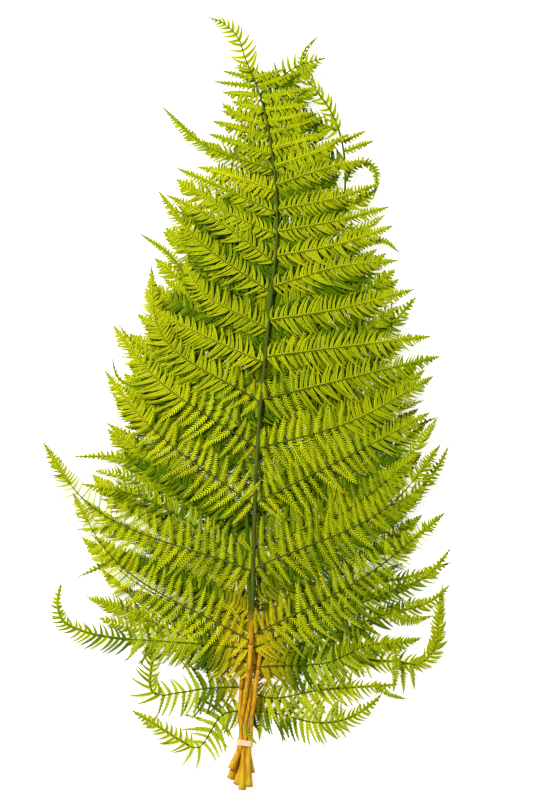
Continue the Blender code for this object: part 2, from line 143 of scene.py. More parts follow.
# %% [markdown]
# ## Smooth ways
# Ribs and stalks are smooth curves through a few points that were read from the picture. A cubic
# that shares its slope with the next one at each point does this, and a small class walks it by
# distance. The model's source uses the same curves, so leaves made here lie on its ribs.

# %% Smooth ways
WAY_STEP = 3.0
HEADING_SPAN = 1.5


def blend(a, b, share):
    return a + (b - a) * share


def eased(share):
    share = min(max(share, 0.0), 1.0)
    return share * share * (3 - 2 * share)


def smooth(points):
    """Points some 3 mm apart on a smooth curve through the given points."""
    gaps = [(b - a).length for a, b in zip(points, points[1:])]
    slopes = [(b - a) / gap for a, b, gap in zip(points, points[1:], gaps)]
    turns = [slopes[0]]
    for first, second, before, after in zip(slopes, slopes[1:], gaps, gaps[1:]):
        turns.append((first * after + second * before) / (before + after))
    turns.append(slopes[-1])
    path = [points[0]]
    for i, gap in enumerate(gaps):
        count = max(1, round(gap / WAY_STEP))
        for k in range(1, count + 1):
            t = k / count
            path.append(
                points[i] * (2 * t**3 - 3 * t**2 + 1)
                + points[i + 1] * (3 * t**2 - 2 * t**3)
                + turns[i] * gap * (t**3 - 2 * t**2 + t)
                + turns[i + 1] * gap * (t**3 - t**2)
            )
    return path


class Route:
    """A smooth way through points, walked by distance in millimetres."""

    def __init__(self, points):
        self.path = smooth([Vector(point) for point in points])
        self.reached = [0.0]
        for a, b in zip(self.path, self.path[1:]):
            self.reached.append(self.reached[-1] + (b - a).length)
        self.length = self.reached[-1]

    def at(self, distance):
        distance = min(max(distance, 0.0), self.length)
        i = 1
        while self.reached[i] < distance and i < len(self.path) - 1:
            i += 1
        span = self.reached[i] - self.reached[i - 1]
        return self.path[i - 1].lerp(self.path[i], (distance - self.reached[i - 1]) / span)

    def heading(self, distance):
        ahead, behind = self.at(distance + HEADING_SPAN), self.at(distance - HEADING_SPAN)
        return (ahead - behind).normalized()

    def distance_at_y(self, y):
        """How far along the way first passes this y."""
        for point, reached in zip(self.path, self.reached):
            if point.y >= y:
                return reached
        return self.length


test_way = Route([(0, 0, 0), (50, 0, 0), (90, 30, 0)])
print("a test way of 3 points is", round(test_way.length), "mm long")

# %% [markdown]
# ## Layers
# The fronds are pressed flat, but they can't pass through each other: each has its own layer. A
# layer is 5.2 mm thick near the stalks, where the rachises are thick, and thins to the tips and
# the edges. The lowest frond lies on the surface, at level 0.

# %% Layers
AXIS_X = 5.0
HALF_WIDTH = 150.0
GROUND_CENTRE = 3.0
GROUND_EDGE = 2.4
PITCH_BASE = 5.2
PITCH_TOP = 3.5
PITCH_EDGE = 3.3
BASE_Y = -110.0
TOP_Y = 250.0


def sheet_height(level, x, y):
    """Height in mm of the middle of a frond's blade at a place."""
    outward = eased(abs(x - AXIS_X) / HALF_WIDTH)
    upward = eased((y - BASE_Y) / (TOP_Y - BASE_Y))
    pitch = blend(blend(PITCH_BASE, PITCH_TOP, upward), PITCH_EDGE, outward)
    return blend(GROUND_CENTRE, GROUND_EDGE, outward) + level * pitch


print("layer heights at the base:", [round(sheet_height(level, 5, -200), 1) for level in range(6)])

# %% [markdown]
# ## Stems
# Each stem is one living thing with two colours: the rachis, which carries leaves, and below it
# the bare stipe. A stem is a list of points: its cut end, its column and row at the band, the
# points above the band, and the rachis. In the band six stipes lie in two rows of three.

# %% Stems
STIPE_RADIUS = 2.2
BAND_CENTRE = (-2.5, -341.0)
BAND_TURN = math.radians(-8)
BAND_WALL = 1.2
BAND_GAP = 0.3
STIPE_PITCH = 4.8
HOLD = 8.0
STEMS = {
    1: {
        "end": (-16, -367, 8.2), "column": -1, "row": 1,
        "stipe": [(-5.7, -318, 11.8), (-2.5, -299, 15.8), (-0.5, -286, 20.5), (1.8, -264, 27.0)],
        "rachis": [(4, -240), (6, -176), (8, -96), (13, -5), (18, 47), (25, 117), (30, 169),
            (30, 191), (27, 234), (20, 282), (13, 309), (1, 339), (-4, 352), (-7, 363),
            (-15, 374), (-25, 382), (-38, 387)],
    },
    2: {
        "end": (-5, -388, 8.0), "column": 0, "row": 1,
        "stipe": [(-1, -318, 10.6), (2.2, -299, 14.0), (3, -286, 17.2), (3.5, -264, 22.0)],
        "rachis": [(4, -248), (3, -196), (-1, -96), (-9, 4), (-17, 104), (-19, 184), (-15, 239),
            (-6, 274), (1, 286), (16, 309), (51, 339), (78, 347)],
    },
    3: {
        "end": (2, -385, 8.0), "column": 1, "row": 1,
        "stipe": [(4.2, -318, 11.6), (6.9, -299, 16.4), (8.2, -286, 18.0)],
        "rachis": [(11, -266), (21, -196), (43, -96), (68, 4), (88, 104), (98, 204), (98, 247),
            (94, 269), (83, 296), (66, 319), (55, 333), (60, 359), (71, 369)],
    },
    4: {
        "end": (4, -372, 3.0), "column": 1, "row": 0,
        "stipe": [(3.6, -318, 6.8), (7, -299, 11.3), (8.4, -286, 12.8)],
        "rachis": [(9, -260), (11, -196), (19, -96), (28, 4), (36, 104), (41, 184), (43, 254)],
    },
    5: {
        "end": (-17, -378, 3.0), "column": -1, "row": 0,
        "stipe": [(-7, -318, 6.2), (-6.7, -299, 8.0)],
        "rachis": [(-6, -288), (-7, -196), (-22, -96), (-39, 4), (-52, 104), (-59, 164),
            (-67, 204)],
    },
    6: {
        "end": (-10.5, -384, 3.0), "column": 0, "row": 0,
        "stipe": [],
        "rachis": [(-2, -312), (-4, -196), (-7, -96), (-11, 4), (-15, 104), (-17, 174),
            (-19, 224)],
    },
}


def level_of(number):
    return len(STEMS) - number


def stem_route(number):
    """The whole stem of a frond, and how far up it the rachis begins."""
    stem = STEMS[number]
    across = Vector((math.cos(BAND_TURN), math.sin(BAND_TURN), 0))
    along = Vector((-across.y, across.x, 0))
    row_height = BAND_WALL + BAND_GAP + STIPE_RADIUS + stem["row"] * STIPE_PITCH
    held = Vector((*BAND_CENTRE, row_height)) + across * stem["column"] * STIPE_PITCH
    rachis = [(x, y, sheet_height(level_of(number), x, y)) for x, y in stem["rachis"]]
    points = [stem["end"], held - along * HOLD, held + along * HOLD, *stem["stipe"], *rachis]
    route = Route(points)
    return route, route.distance_at_y(rachis[0][1])


stem_ways = {number: stem_route(number) for number in STEMS}
for number, (route, start) in stem_ways.items():
    print(f"stem {number}: {route.length:.0f} mm, of which {start:.0f} mm is bare stipe")

# %% [markdown]
# ## Pinnae
# A pinna is a side branch of the frond. The top frond is seen whole, so each of its pinnae has its
# own line below: where it leaves the rachis, where it bends up, and its tip. Of the fronds under it
# only some outer parts show, and those are listed too. The rest follow a rule: they reach for the
# edge of the bunch, with a seeded draw that keeps them from looking combed.

# %% Pinnae of the top frond
TOP_LEFT = [
    (-238, (-144, -143), (-175, -88)), (-168, (-170, -89), (-205, -37)),
    (-102, (-109, -10), (-143, 34)), (-47, (-100, 35), (-135, 80)),
    (0, (-89, 77), (-96, 139)), (38, (-57, 75), (-97, 96)),
    (74, (-54, 124), (-63, 146)), (109, (-54, 169), (-89, 214)),
    (140, (-41, 190), (-82, 210)), (166, (-20, 192), (-57, 219)),
    (191, (-20, 214), (-72, 237)), (212, (-20, 230), (-51, 238)),
    (231, (-47, 262), (-86, 299)), (249, (-40, 271)),
    (265, (-36, 284)), (279, (-27, 294)),
    (294, (-16, 303)), (308, (-25, 312)),
    (317, (-34, 323)), (325, (-26, 334)),
]
TOP_RIGHT = [
    (-233, (123, -169), (199, -108)), (-167, (153, -92), (194, -40)),
    (-99, (111, -47), (184, -8)), (-47, (103, -18), (187, 28)),
    (2, (103, 26), (194, 48)), (47, (113, 59), (185, 68)),
    (82, (93, 95), (168, 115)), (116, (96, 138), (152, 144)),
    (145, (93, 160), (147, 179)), (170, (93, 184), (144, 198)),
    (194, (93, 207), (134, 221)), (216, (83, 237), (121, 244)),
    (236, (73, 254), (103, 271)), (253, (81, 271)),
    (268, (78, 288)), (281, (67, 292)),
    (293, (63, 300)), (306, (61, 315)),
    (316, (53, 332)), (325, (41, 336)),
]
print("pinnae of the top frond:", len(TOP_LEFT) + len(TOP_RIGHT))

# %% Pinnae of the fronds below
LEFT, RIGHT = -1, 1
SEEN_PINNAE = {
    2: [
        (LEFT, -247, [(-32, -241), (-97, -237), (-137, -234), (-167, -227), (-186, -216),
            (-190, -201), (-186, -178)]),
        (LEFT, -171, [(-47, -126), (-112, -91), (-167, -80)]),
        (LEFT, -26, [(-47, 19), (-82, 47), (-117, 64), (-129, 80)]),
        (LEFT, 114, [(-47, 144), (-74, 169)]),
        (RIGHT, -246, [(73, -214), (138, -190), (183, -170), (205, -144)]),
    ],
    3: [
        (LEFT, -265, [(-47, -241), (-110, -212), (-155, -196)]),
        (RIGHT, -265, [(41, -262), (83, -259), (118, -243), (160, -239), (176, -235)]),
        (RIGHT, -141, [(103, -116), (175, -84), (193, -61), (203, -41)]),
        (RIGHT, -61, [(103, -31), (143, -31), (192, -13)]),
        (RIGHT, 54, [(143, 79), (170, 108)]),
        (RIGHT, 134, [(118, 161), (138, 164), (153, 152)]),
        (RIGHT, 221, [(107, 239), (121, 243), (129, 234), (130, 221), (126, 205)]),
        (RIGHT, 251, [(128, 265)]),
        (RIGHT, 262, [(120, 275)]),
    ],
    4: [
        (LEFT, -236, [(-67, -176), (-137, -161), (-172, -175)]),
        (LEFT, -156, [(-47, -106), (-87, -78), (-127, -55), (-177, -53)]),
        (RIGHT, -259, [(73, -236), (133, -214), (191, -194), (205, -181)]),
        (RIGHT, -211, [(93, -186), (173, -171), (206, -159)]),
        (RIGHT, -116, [(83, -91), (133, -76), (153, -63), (170, -44)]),
    ],
    5: [
        (LEFT, -287, [(-37, -286), (-70, -291), (-90, -293), (-97, -289), (-98, -280),
            (-96, -262), (-92, -240), (-86, -221)]),
        (LEFT, -236, [(-57, -171), (-127, -128), (-175, -126)]),
        (LEFT, -146, [(-67, -76), (-112, -36), (-144, -18)]),
        (LEFT, -66, [(-62, -21), (-107, 14), (-130, 26), (-137, 49)]),
        (LEFT, 34, [(-77, 84), (-103, 118)]),
        (LEFT, 114, [(-79, 151), (-110, 173)]),
        (RIGHT, -287, [(16, -295), (73, -288), (133, -284), (153, -283)]),
        (RIGHT, -258, [(53, -256), (103, -258), (153, -260), (173, -262), (187, -250),
            (193, -216), (197, -183)]),
    ],
    6: [
        (LEFT, -311, [(-24, -313), (-40, -336), (-47, -346), (-52, -348), (-60, -344),
            (-94, -323), (-117, -309)]),
        (RIGHT, -310, [(31, -313), (74, -322), (100, -318), (124, -304), (136, -293)]),
    ],
}
print("fronds with seen pinnae below the top one:", len(SEEN_PINNAE))

# %% Rules for the pinnae
EDGES = [
    (-310, -110, 135), (-270, -130, 175), (-230, -178, 200), (-150, -172, 202),
    (-80, -170, 197), (-30, -150, 190), (40, -138, 188), (110, -105, 165), (170, -92, 146),
    (210, -82, 133), (250, -60, 124), (300, -24, 100), (340, -12, 75),
]
SEED = 11
PAIRS = 10
PAIR_SHRINK = 0.89
APEX_SHARES = {2: 0.10, 3: 0.17, 4: 0.10, 5: 0.10, 6: 0.10}
WIDTH_SHARE = 0.3
SEEN_WIDTH_SHARE = 0.17
SEEN_ROOM = 22.0
ROOT_LIFT = 2.0
STATION_PLAY = 5.0
RISE = 0.52
RISE_PLAY = 0.08
SHORTFALL = (0.86, 0.98)
BEND_AT = 0.6
OWN_LENGTH = 30.0
LENGTH_GROWTH = 290.0
SAG = 0.07


def flat_point(point):
    return Vector((point[0], point[1], 0))


def flat_way(points):
    return Route([flat_point(point) for point in points])


def edge_at(y, side):
    """The bunch's left or right edge at this height of the picture."""
    column = 1 if side < 0 else 2
    y = min(max(y, EDGES[0][0]), EDGES[-1][0])
    low, high = next(rows for rows in zip(EDGES, EDGES[1:]) if y <= rows[1][0])
    return blend(low[column], high[column], (y - low[0]) / (high[0] - low[0]))


def ruled_pinna(base, side, share, draw):
    """Points of a pinna that reaches for the bunch's edge, or as far as its place allows."""
    rise = RISE + draw.uniform(-RISE_PLAY, RISE_PLAY)
    stretch = draw.uniform(*SHORTFALL)
    tip = base.copy()
    for _ in range(4):
        tip.x = blend(base.x, edge_at(tip.y, side), stretch)
        tip.y = base.y + rise * abs(tip.x - base.x)
    own = OWN_LENGTH + LENGTH_GROWTH * (1 - share)
    way = tip - base
    if side * way.x < OWN_LENGTH:
        way = Vector((side, rise, 0)).normalized() * OWN_LENGTH
    way *= min(1.0, own / way.length)
    below = Vector((way.y, -way.x, 0)) * side
    return [base, base + way * BEND_AT + below * SAG, base + way]


def hidden_pinnae(number, route, start):
    """Side, place, way and width share of every pinna of a frond below the top one."""
    draw = random.Random(SEED + number)
    end = blend(start, route.length, 1 - APEX_SHARES[number])
    shares = [0.0]
    for i in range(PAIRS - 1):
        shares.append(shares[-1] + PAIR_SHRINK**i)
    stations = [blend(start, end, share / shares[-1]) for share in shares]
    stations[0] += ROOT_LIFT
    found = []
    for side in (LEFT, RIGHT):
        seen = [
            (route.distance_at_y(y), points) for s, y, points in SEEN_PINNAE[number] if s == side
        ]
        for i, station in enumerate(stations):
            gap = stations[i + 1] - station if i + 1 < PAIRS else station - stations[i - 1]
            if any(abs(distance - station) < min(gap / 2, SEEN_ROOM) for distance, _ in seen):
                continue
            place = station + (draw.uniform(0.0, STATION_PLAY) if i else 0.0)
            share = (place - start) / (route.length - start)
            points = ruled_pinna(flat_point(route.at(place)), side, share, draw)
            found.append((side, place, flat_way(points), WIDTH_SHARE))
        for distance, points in seen:
            place = max(distance, start + ROOT_LIFT)
            found.append((side, place, flat_way([route.at(place), *points]), SEEN_WIDTH_SHARE))
    return found


def top_pinnae(route):
    found = []
    for side, rows in ((LEFT, TOP_LEFT), (RIGHT, TOP_RIGHT)):
        for y, *points in rows:
            place = route.distance_at_y(y)
            found.append((side, place, flat_way([route.at(place), *points]), WIDTH_SHARE))
    return found


pinnae = {}
for number, (route, start) in stem_ways.items():
    pinnae[number] = top_pinnae(route) if number == 1 else hidden_pinnae(number, route, start)
print("pinnae of each frond:", {number: len(found) for number, found in pinnae.items()})

# %% [markdown]
# ## Where leaflets stand
# Along a pinna the leaflets stand in pairs, closer together towards its tip. On the big lower
# pinnae the inner leaflets are lobed, some 9 mm apart. Further out and up the frond they are plain
# sickles about 5 mm apart, and near tips they are short and blunt. The loose pinnae round the edge
# carry toothed leaflets, with a second row below them near the stalks, where blades lie on each
# other; that row gets a painted shade. A leaflet reaches a little over half-way to the next pinna.
# Each pair is one vertex of a line along the rib, which carries the pair's sizes as attributes for
# Geometry Nodes to read, and each shape of leaflet gets its own lines. Leaflets that others cover
# get a low tone as painted shade, which the material turns to dark green.

# %% Rules for leaflets
LOW_REACH = 0.72
HIGH_REACH = 0.60
LAST_GAP = 56.0
SLANT_AT = 20.0
BEND_SPAN = 12.0
BEND_SHARE = 0.9
STRAIGHT_TURN = 0.05
SHORT_BELOW = 9.0
SMALL_BELOW = 88.0
SMALL_LEAFLET = 13.0
LOBED_SHARES = (0.86, 0.80, 0.66, 0.45, 0.20)
LEAST_LOBED = 90.0
FIRST_LOBED = 4.5
FIRST_PLAIN = 2.5
EDGE_BAND = 12.0
LOWEST_COVERED = -255.0
COVER_BAND = 40.0
LOWEST_BY_STALKS = -350.0
STALK_BAND = 55.0
COVERED_SHADE = 0.85
BASE_SHAPE = 0.72
SHAPE_RISE = 1.6
SHAPE_FALL = 2.5
LEAST_WIDTH = 0.7
WIDTH_RANGE = 0.3
CLOSER_AT_TIP = 0.5

Habit = namedtuple("Habit", "cut cut_for cut_row row caps wing")
HABITS = {
    "top": Habit("lobed", 1.0, (9.6, 8.6), (4.8, 3.2), (37.0, 31.0), 1.9),
    "hidden": Habit("lobed", 1.0, (9.0, 10.4), (5.3, 4.5), (37.0, 31.0), 1.9),
    "loose": Habit("toothed", 0.6, (8.0, 6.8), (7.6, 4.2), (29.0, 19.0), 1.5),
    "fine": Habit("toothed", 0.0, (8.0, 6.8), (3.9, 2.9), (7.0, 7.0), 1.5),
    "small": Habit("lobed", 0.0, (9.6, 8.4), (4.7, 3.5), (16.0, 14.0), 2.8),
}


def growth_of(number, way, width_share):
    """Which habit the leaflets of a pinna follow."""
    short = way.length < SMALL_BELOW
    if width_share == SEEN_WIDTH_SHARE:
        return "fine" if short else "loose"
    if number > 1:
        return "hidden"
    return "small" if short else "top"


def blade_shape(share):
    """How wide a pinna is at a share of its length, against its widest."""
    return min(1.0, BASE_SHAPE + SHAPE_RISE * share) * (1 - share**SHAPE_FALL)


def inner_limit(route, distance, side):
    """How far leaflets can reach on this side of a bend without crossing each other."""
    before = route.heading(distance - BEND_SPAN / 2)
    after = route.heading(distance + BEND_SPAN / 2)
    turn = before.cross(after).z * side
    return BEND_SHARE * BEND_SPAN / turn if turn > STRAIGHT_TURN else math.inf


def reaches_of(number, pinna, caps):
    """How far the leaflets of a pinna reach below and above it."""
    side, place, way, width_share = pinna
    stations = [other for s, other, *_ in pinnae[number] if s == side]
    below = [place - other for other in stations if other < place - 1]
    above = [other - place for other in stations if other > place + 1]
    down = min(below, default=LAST_GAP)
    up = min(above, default=down)
    slant = abs(way.heading(SLANT_AT).cross(stem_ways[number][0].heading(place)).z)
    most = way.length * width_share
    gaps = ((LOW_REACH * down, caps[0]), (HIGH_REACH * up, caps[1]))
    return [min(gap * slant, cap, most) for gap, cap in gaps]


def lobed_part(number, pinna, cut_for):
    """How far along a pinna its cut leaflets give way to plain ones."""
    side, place, way, _ = pinna
    order = sum(1 for s, other, *_ in pinnae[number] if s == side and other < place - 1)
    share = LOBED_SHARES[order] if order < len(LOBED_SHARES) else 0.0
    change = share * cut_for * way.length
    return FIRST_PLAIN if way.length < LEAST_LOBED or change < FIRST_LOBED else change


def covered(x, y):
    """How far inside the bunch's outline a place is: 0 at its edge, 1 well inside."""
    side = LEFT if x < AXIS_X else RIGHT
    inside = eased((abs(edge_at(y, side)) - abs(x) - EDGE_BAND) / COVER_BAND)
    by_stalks = eased((STALK_BAND - abs(x - AXIS_X)) / EDGE_BAND)
    lowest = blend(LOWEST_COVERED, LOWEST_BY_STALKS, by_stalks)
    return inside * eased((y - lowest) / COVER_BAND)


def pair_line(way, level, side, reaches, first, last, row, tone):
    """One line of leaflet pairs along a rib: a list of vertices with what each carries."""
    spacing, width = row
    # Painted shade: below the top frond, leaflets inside the bunch get a lower tone, the lower the
    # deeper in they lie.
    shade = 0.0 if level >= level_of(1) else COVERED_SHADE
    line = []
    distance = first
    while distance < last:
        share = distance / way.length
        spot = way.at(distance)
        shape = blade_shape(share)
        line.append({
            "place": Vector((spot.x, spot.y, sheet_height(level, spot.x, spot.y))),
            "side": side,
            "low_reach": min(reaches[0] * shape, inner_limit(way, distance, -side)),
            "high_reach": min(reaches[1] * shape, inner_limit(way, distance, side)),
            "width": width * (LEAST_WIDTH + WIDTH_RANGE * shape),
            "tone": tone - shade * covered(spot.x, spot.y),
        })
        distance += spacing * (1 - CLOSER_AT_TIP * share**1.5)
    return line


print("habits of leaflets:", sorted(HABITS))

# %% Lines of leaflets
ROW_TO_TIP = 0.5
TONE_PLAY = 0.5
TONE_SEED = 100
WING_DROP = 0.1
WING_SHARE = 0.35
WING_LEAST = 0.2
SECOND_ROW = 8.2
DOUBLED_TO = {LEFT: 46.0, RIGHT: 115.0}
DOUBLED_SHARE = 0.7
DOUBLED_ROW = (7.4, 6.8)
BELOW_ROW = 0.6
BELOW_STRETCH = (1.1, 1.7)
BELOW_PAINTED_SHADE = 0.3
UNDER_GAP = 18.0
UNDER_SHARE = 0.85
UNDER_REACHES = (17.0, 15.0)
UNDER_ROW = (4.0, 3.5)
WELL_COVERED = 0.7
APEX_REACH = {1: 18.0, 2: 18.0, 3: 12.0, 4: 18.0, 5: 18.0, 6: 18.0}
APEX_ROW = (7.0, 4.4)
APEX_START = 3.0


def split_by_length(line, short):
    """The part of a line whose leaflets are long, and the part where they are short."""
    for i, spot in enumerate(line):
        if spot["low_reach"] < short and i > 0:
            return line[:i], line[i - 1:]
    return line, []


def wing_spot(spot, widest):
    return {
        "place": spot["place"] - Vector((0, 0, WING_DROP)),
        "tone": spot["tone"],
        "across": 0.5,
        "half_width": min(widest, WING_SHARE * spot["low_reach"] + WING_LEAST),
    }


def add_pinna(lines, number, pinna, tone):
    """Adds the rows of leaflets of one pinna to the lines of its frond."""
    side, _, way, width_share = pinna
    level = level_of(number)
    growth = growth_of(number, way, width_share)
    habit = HABITS[growth]
    reaches = reaches_of(number, pinna, habit.caps)
    change = lobed_part(number, pinna, habit.cut_for)
    end = way.length - ROW_TO_TIP
    lines[habit.cut].append(
        pair_line(way, level, side, reaches, FIRST_LOBED, change, habit.cut_row, tone))
    long_part, short_part = split_by_length(
        pair_line(way, level, side, reaches, change, end, habit.row, tone),
        SMALL_LEAFLET if growth == "small" else SHORT_BELOW)
    lines["plain"].append(long_part)
    lines["short"].append(short_part)
    lines["wing"].append([wing_spot(spot, habit.wing) for spot in long_part + short_part[1:]])
    if growth == "loose":
        last = min(DOUBLED_TO[side], DOUBLED_SHARE * way.length)
        longer = [reach * stretch for reach, stretch in zip(reaches, BELOW_STRETCH)]
        doubled = pair_line(way, level, side, longer, SECOND_ROW, last, DOUBLED_ROW, tone)
        for spot in doubled:
            spot["place"].z -= BELOW_ROW
            # Painted shade: the second row, lying under the first, gets a lower tone.
            spot["tone"] -= BELOW_PAINTED_SHADE
        lines["toothed"].append(doubled)


def add_covered(lines, number):
    """Adds covered pinnae, each half-way between two others of a frond below the top one."""
    for side in (LEFT, RIGHT):
        rows = sorted((place, way.path[-1]) for s, place, way, _ in pinnae[number] if s == side)
        for (low, low_tip), (high, high_tip) in zip(rows, rows[1:]):
            if high - low < UNDER_GAP:
                continue
            base = flat_point(stem_ways[number][0].at((low + high) / 2))
            reach = (low_tip + high_tip) / 2 - base
            way = flat_way([base, base + reach * UNDER_SHARE])
            # Painted shade: these covered leaflets start at the lowest tone, and pair_line darkens
            # them further.
            line = pair_line(way, level_of(number), side, UNDER_REACHES, FIRST_PLAIN, way.length,
                             UNDER_ROW, -TONE_PLAY)
            lines["under"].append([
                spot for spot in line if covered(spot["place"].x, spot["place"].y) > WELL_COVERED
            ])


def add_apex(lines, number, route):
    """Adds the leaflets of the frond's own tip, above its last pinna."""
    start = max(place for _, place, *_ in pinnae[number])
    way = flat_way([route.at(blend(start, route.length, i / 4)) for i in range(5)])
    reaches = (APEX_REACH[number], APEX_REACH[number])
    lines["plain"].append(pair_line(
        way, level_of(number), RIGHT, reaches, APEX_START, way.length - ROW_TO_TIP, APEX_ROW, 0.0))


leaf_lines = {}
for number, (route, start) in stem_ways.items():
    draw = random.Random(TONE_SEED + number)
    lines = {kind: [] for kind in ("lobed", "toothed", "plain", "short", "under", "wing")}
    for pinna in pinnae[number]:
        add_pinna(lines, number, pinna, draw.uniform(-TONE_PLAY, TONE_PLAY))
    if number > 1:
        add_covered(lines, number)
    add_apex(lines, number, route)
    leaf_lines[number] = lines
print("fronds with lines of leaflets:", len(leaf_lines))

# %% [markdown]
# ## Loose tips and full ends
# Small loose tips lie on top and hang from the edge, as in the picture. Each has the number of its
# frond, its level in layers, how far its leaflets reach in mm, and its line. A few pinnae of the
# lower fronds keep long leaflets up to their ends, and those ends have their own lines too.

# %% Loose tips and full ends
TIP_ROW = (2.6, 2.4)
TIP_TONE = 0.5
END_ROW = (4.8, 4.0)
END_TONE = 0.2
EXTRA_START = 1.5
LOOSE_TIPS = [
    (1, 5.6, (3.4, 2.8), [(-7, -97), (4, -88), (16, -73)]),
    (1, 5.6, (3.4, 2.8), [(-9, -132), (-2, -139), (7, -150)]),
    (1, 5.6, (3.4, 2.8), [(-24, -199), (-14, -206), (-5, -218)]),
    (1, 1.95, (3.4, 2.8), [(-2, -323), (3, -334), (10, -342)]),
    (3, 3.0, (7.0, 6.0), [(148, -241), (150, -262), (147, -290)]),
    (5, 1.0, (3.6, 3.2), [(157, -261), (158, -293)]),
    (5, 1.0, (3.6, 3.2), [(165, -262), (169, -289)]),
    (5, 1.0, (3.0, 5.0), [(128, -285), (145, -294), (162, -298)]),
    (4, 2.0, (8.0, 8.0), [(130, -207), (165, -218), (188, -213)]),
    (6, 0.0, (4.5, 4.0), [(11, -300), (13, -322), (12, -342)]),
]
FULL_ENDS = [
    (5, (13.0, 12.0), [(166, -261), (173, -262), (187, -250), (193, -216), (197, -183)]),
    (3, (12.0, 12.0), [(118, -243), (160, -239), (176, -235)]),
    (3, (14.0, 15.0), [(-98, -217), (-110, -212), (-155, -196), (-162, -193)]),
    (4, (16.0, 12.0), [(-75, -88), (-87, -78), (-127, -55), (-150, -54)]),
    (4, (16.0, 15.0), [(-52, -116), (-90, -97), (-135, -76)]),
    (4, (10.0, 12.0), [(-94, -86), (-124, -72), (-156, -67)]),
    (3, (13.0, 14.0), [(-92, -226), (-122, -223), (-150, -215)]),
    (2, (9.0, 9.0), [(90, 171), (115, 176), (139, 190)]),
    (3, (9.0, 11.0), [(122, -9), (150, -4), (177, 3)]),
    (3, (12.0, 9.0), [(152, -64), (170, -42), (192, -13)]),
    (2, (28.0, 8.0), [(-45, -241), (-78, -239), (-124, -236)]),
    (5, (15.0, 6.0), [(80, -257), (110, -258), (142, -260)]),
    (4, (8.0, 15.0), [(122, -218), (150, -208), (182, -197)]),
]
for number, level, reaches, points in LOOSE_TIPS:
    way = flat_way(points)
    leaf_lines[number]["short"].append(
        pair_line(way, level, RIGHT, reaches, EXTRA_START, way.length, TIP_ROW, TIP_TONE))
for number, reaches, points in FULL_ENDS:
    way = flat_way(points)
    side = LEFT if points[0][0] < 0 else RIGHT
    leaf_lines[number]["plain"].append(pair_line(
        way, level_of(number), side, reaches, EXTRA_START, way.length, END_ROW, END_TONE))
for number, kinds in leaf_lines.items():
    counts = {kind: sum(len(line) for line in lines) for kind, lines in kinds.items()}
    print(f"frond {number} has pairs of leaflets:", counts)

# %% [markdown]
# ## One plain leaflet
# A plain leaflet is a narrow sickle with a groove over its rib, and it hangs a little at its tip.
# It is built once, one unit long and wide, as rings of six points that close to a tip: five along
# the top and one under the rib. A second one bends the other way, because a mirrored copy would
# be inside out. An attribute tells the material how far across the blade a point lies.

# %% One plain leaflet
PLAIN_RINGS = (0.0, 0.14, 0.34, 0.58, 0.82)
SHORT_RINGS = (0.0, 0.25, 0.55, 0.82)
CROWN = 0.13
UNDERSIDE = 0.10


def marked_mesh(name, build, marks):
    """An object from a bmesh, whose vertices carry how far across the blade they lie."""
    bmesh.ops.recalc_face_normals(build, faces=build.faces)
    mesh = bpy.data.meshes.new(name)
    build.to_mesh(mesh)
    build.free()
    mesh.attributes.new("across", "FLOAT", "POINT")
    mesh.attributes["across"].data.foreach_set("value", marks)
    return bpy.data.objects.new(name, mesh)


def new_blade(bend, sickle, droop):
    """A bmesh, its marks, and a function that adds points of a bent and drooping blade to them."""
    build = bmesh.new()
    marks = []

    def spot(x, y, z, across):
        marks.append(across)
        return build.verts.new((x, y - bend * sickle * x * x, z - droop * x * x))

    return build, marks, spot


def plain_leaflet(name, bend, places, taper, sickle, droop):
    build, marks, spot = new_blade(bend, sickle, droop)
    rings = []
    for x in places:
        w = 0.5 * min(1.0, 0.8 + 1.6 * x) * (1 - x**taper) ** 0.8
        rings.append([
            spot(x, -w, 0, 1.0),
            spot(x, -w * 0.5, CROWN * w * 2, 0.5),
            spot(x, 0, CROWN * w * 0.6, 0.0),
            spot(x, w * 0.5, CROWN * w * 2, 0.5),
            spot(x, w, 0, 1.0),
            spot(x, 0, -UNDERSIDE * w * 2, 0.0),
        ])
    tip = spot(1.0, 0, 0, 0.8)
    for ring, following in zip(rings, rings[1:]):
        for k in range(6):
            j = (k + 1) % 6
            build.faces.new((ring[k], ring[j], following[j], following[k]))
    for k in range(6):
        build.faces.new((rings[-1][k], rings[-1][(k + 1) % 6], tip))
    build.faces.new(rings[0])
    return marked_mesh(name, build, marks)


shapes = {kind: {} for kind in ("lobed", "toothed", "plain", "short")}
for bend in (LEFT, RIGHT):
    shapes["plain"][bend] = plain_leaflet(f"plain_{bend}", bend, PLAIN_RINGS,
                                          taper=1.6, sickle=1.5, droop=0.5)
    shapes["short"][bend] = plain_leaflet(f"short_{bend}", bend, SHORT_RINGS,
                                          taper=3.5, sickle=0.4, droop=0.2)
print("faces of a plain leaflet:", len(shapes["plain"][LEFT].data.polygons))

# %% [markdown]
# ## One covered leaflet
# Between the pinnae of the lower fronds stand more, which only show in the gaps, as dark green from
# a painted shade. Their leaflets are as small a closed blade as can be: five points of outline, one
# point over the middle and one under it.

# %% One covered leaflet
def covered_leaflet(name, bend):
    build = bmesh.new()
    outline = [(0, 0.4), (0, -0.4), (0.6, -0.45), (1.0, 0.0), (0.6, 0.45)]
    edge = [build.verts.new((x, y - bend * 0.8 * x * x, -0.2 * x)) for x, y in outline]
    over = build.verts.new((0.4, -bend * 0.1, 0.05))
    under = build.verts.new((0.4, -bend * 0.1, -0.15))
    for a, b in zip(edge, edge[1:] + edge[:1]):
        build.faces.new((a, b, over))
        build.faces.new((b, a, under))
    return marked_mesh(name, build, [0.5] * len(build.verts))


shapes["under"] = {bend: covered_leaflet(f"under_{bend}", bend) for bend in (LEFT, RIGHT)}
print("faces of a covered leaflet:", len(shapes["under"][LEFT].data.polygons))

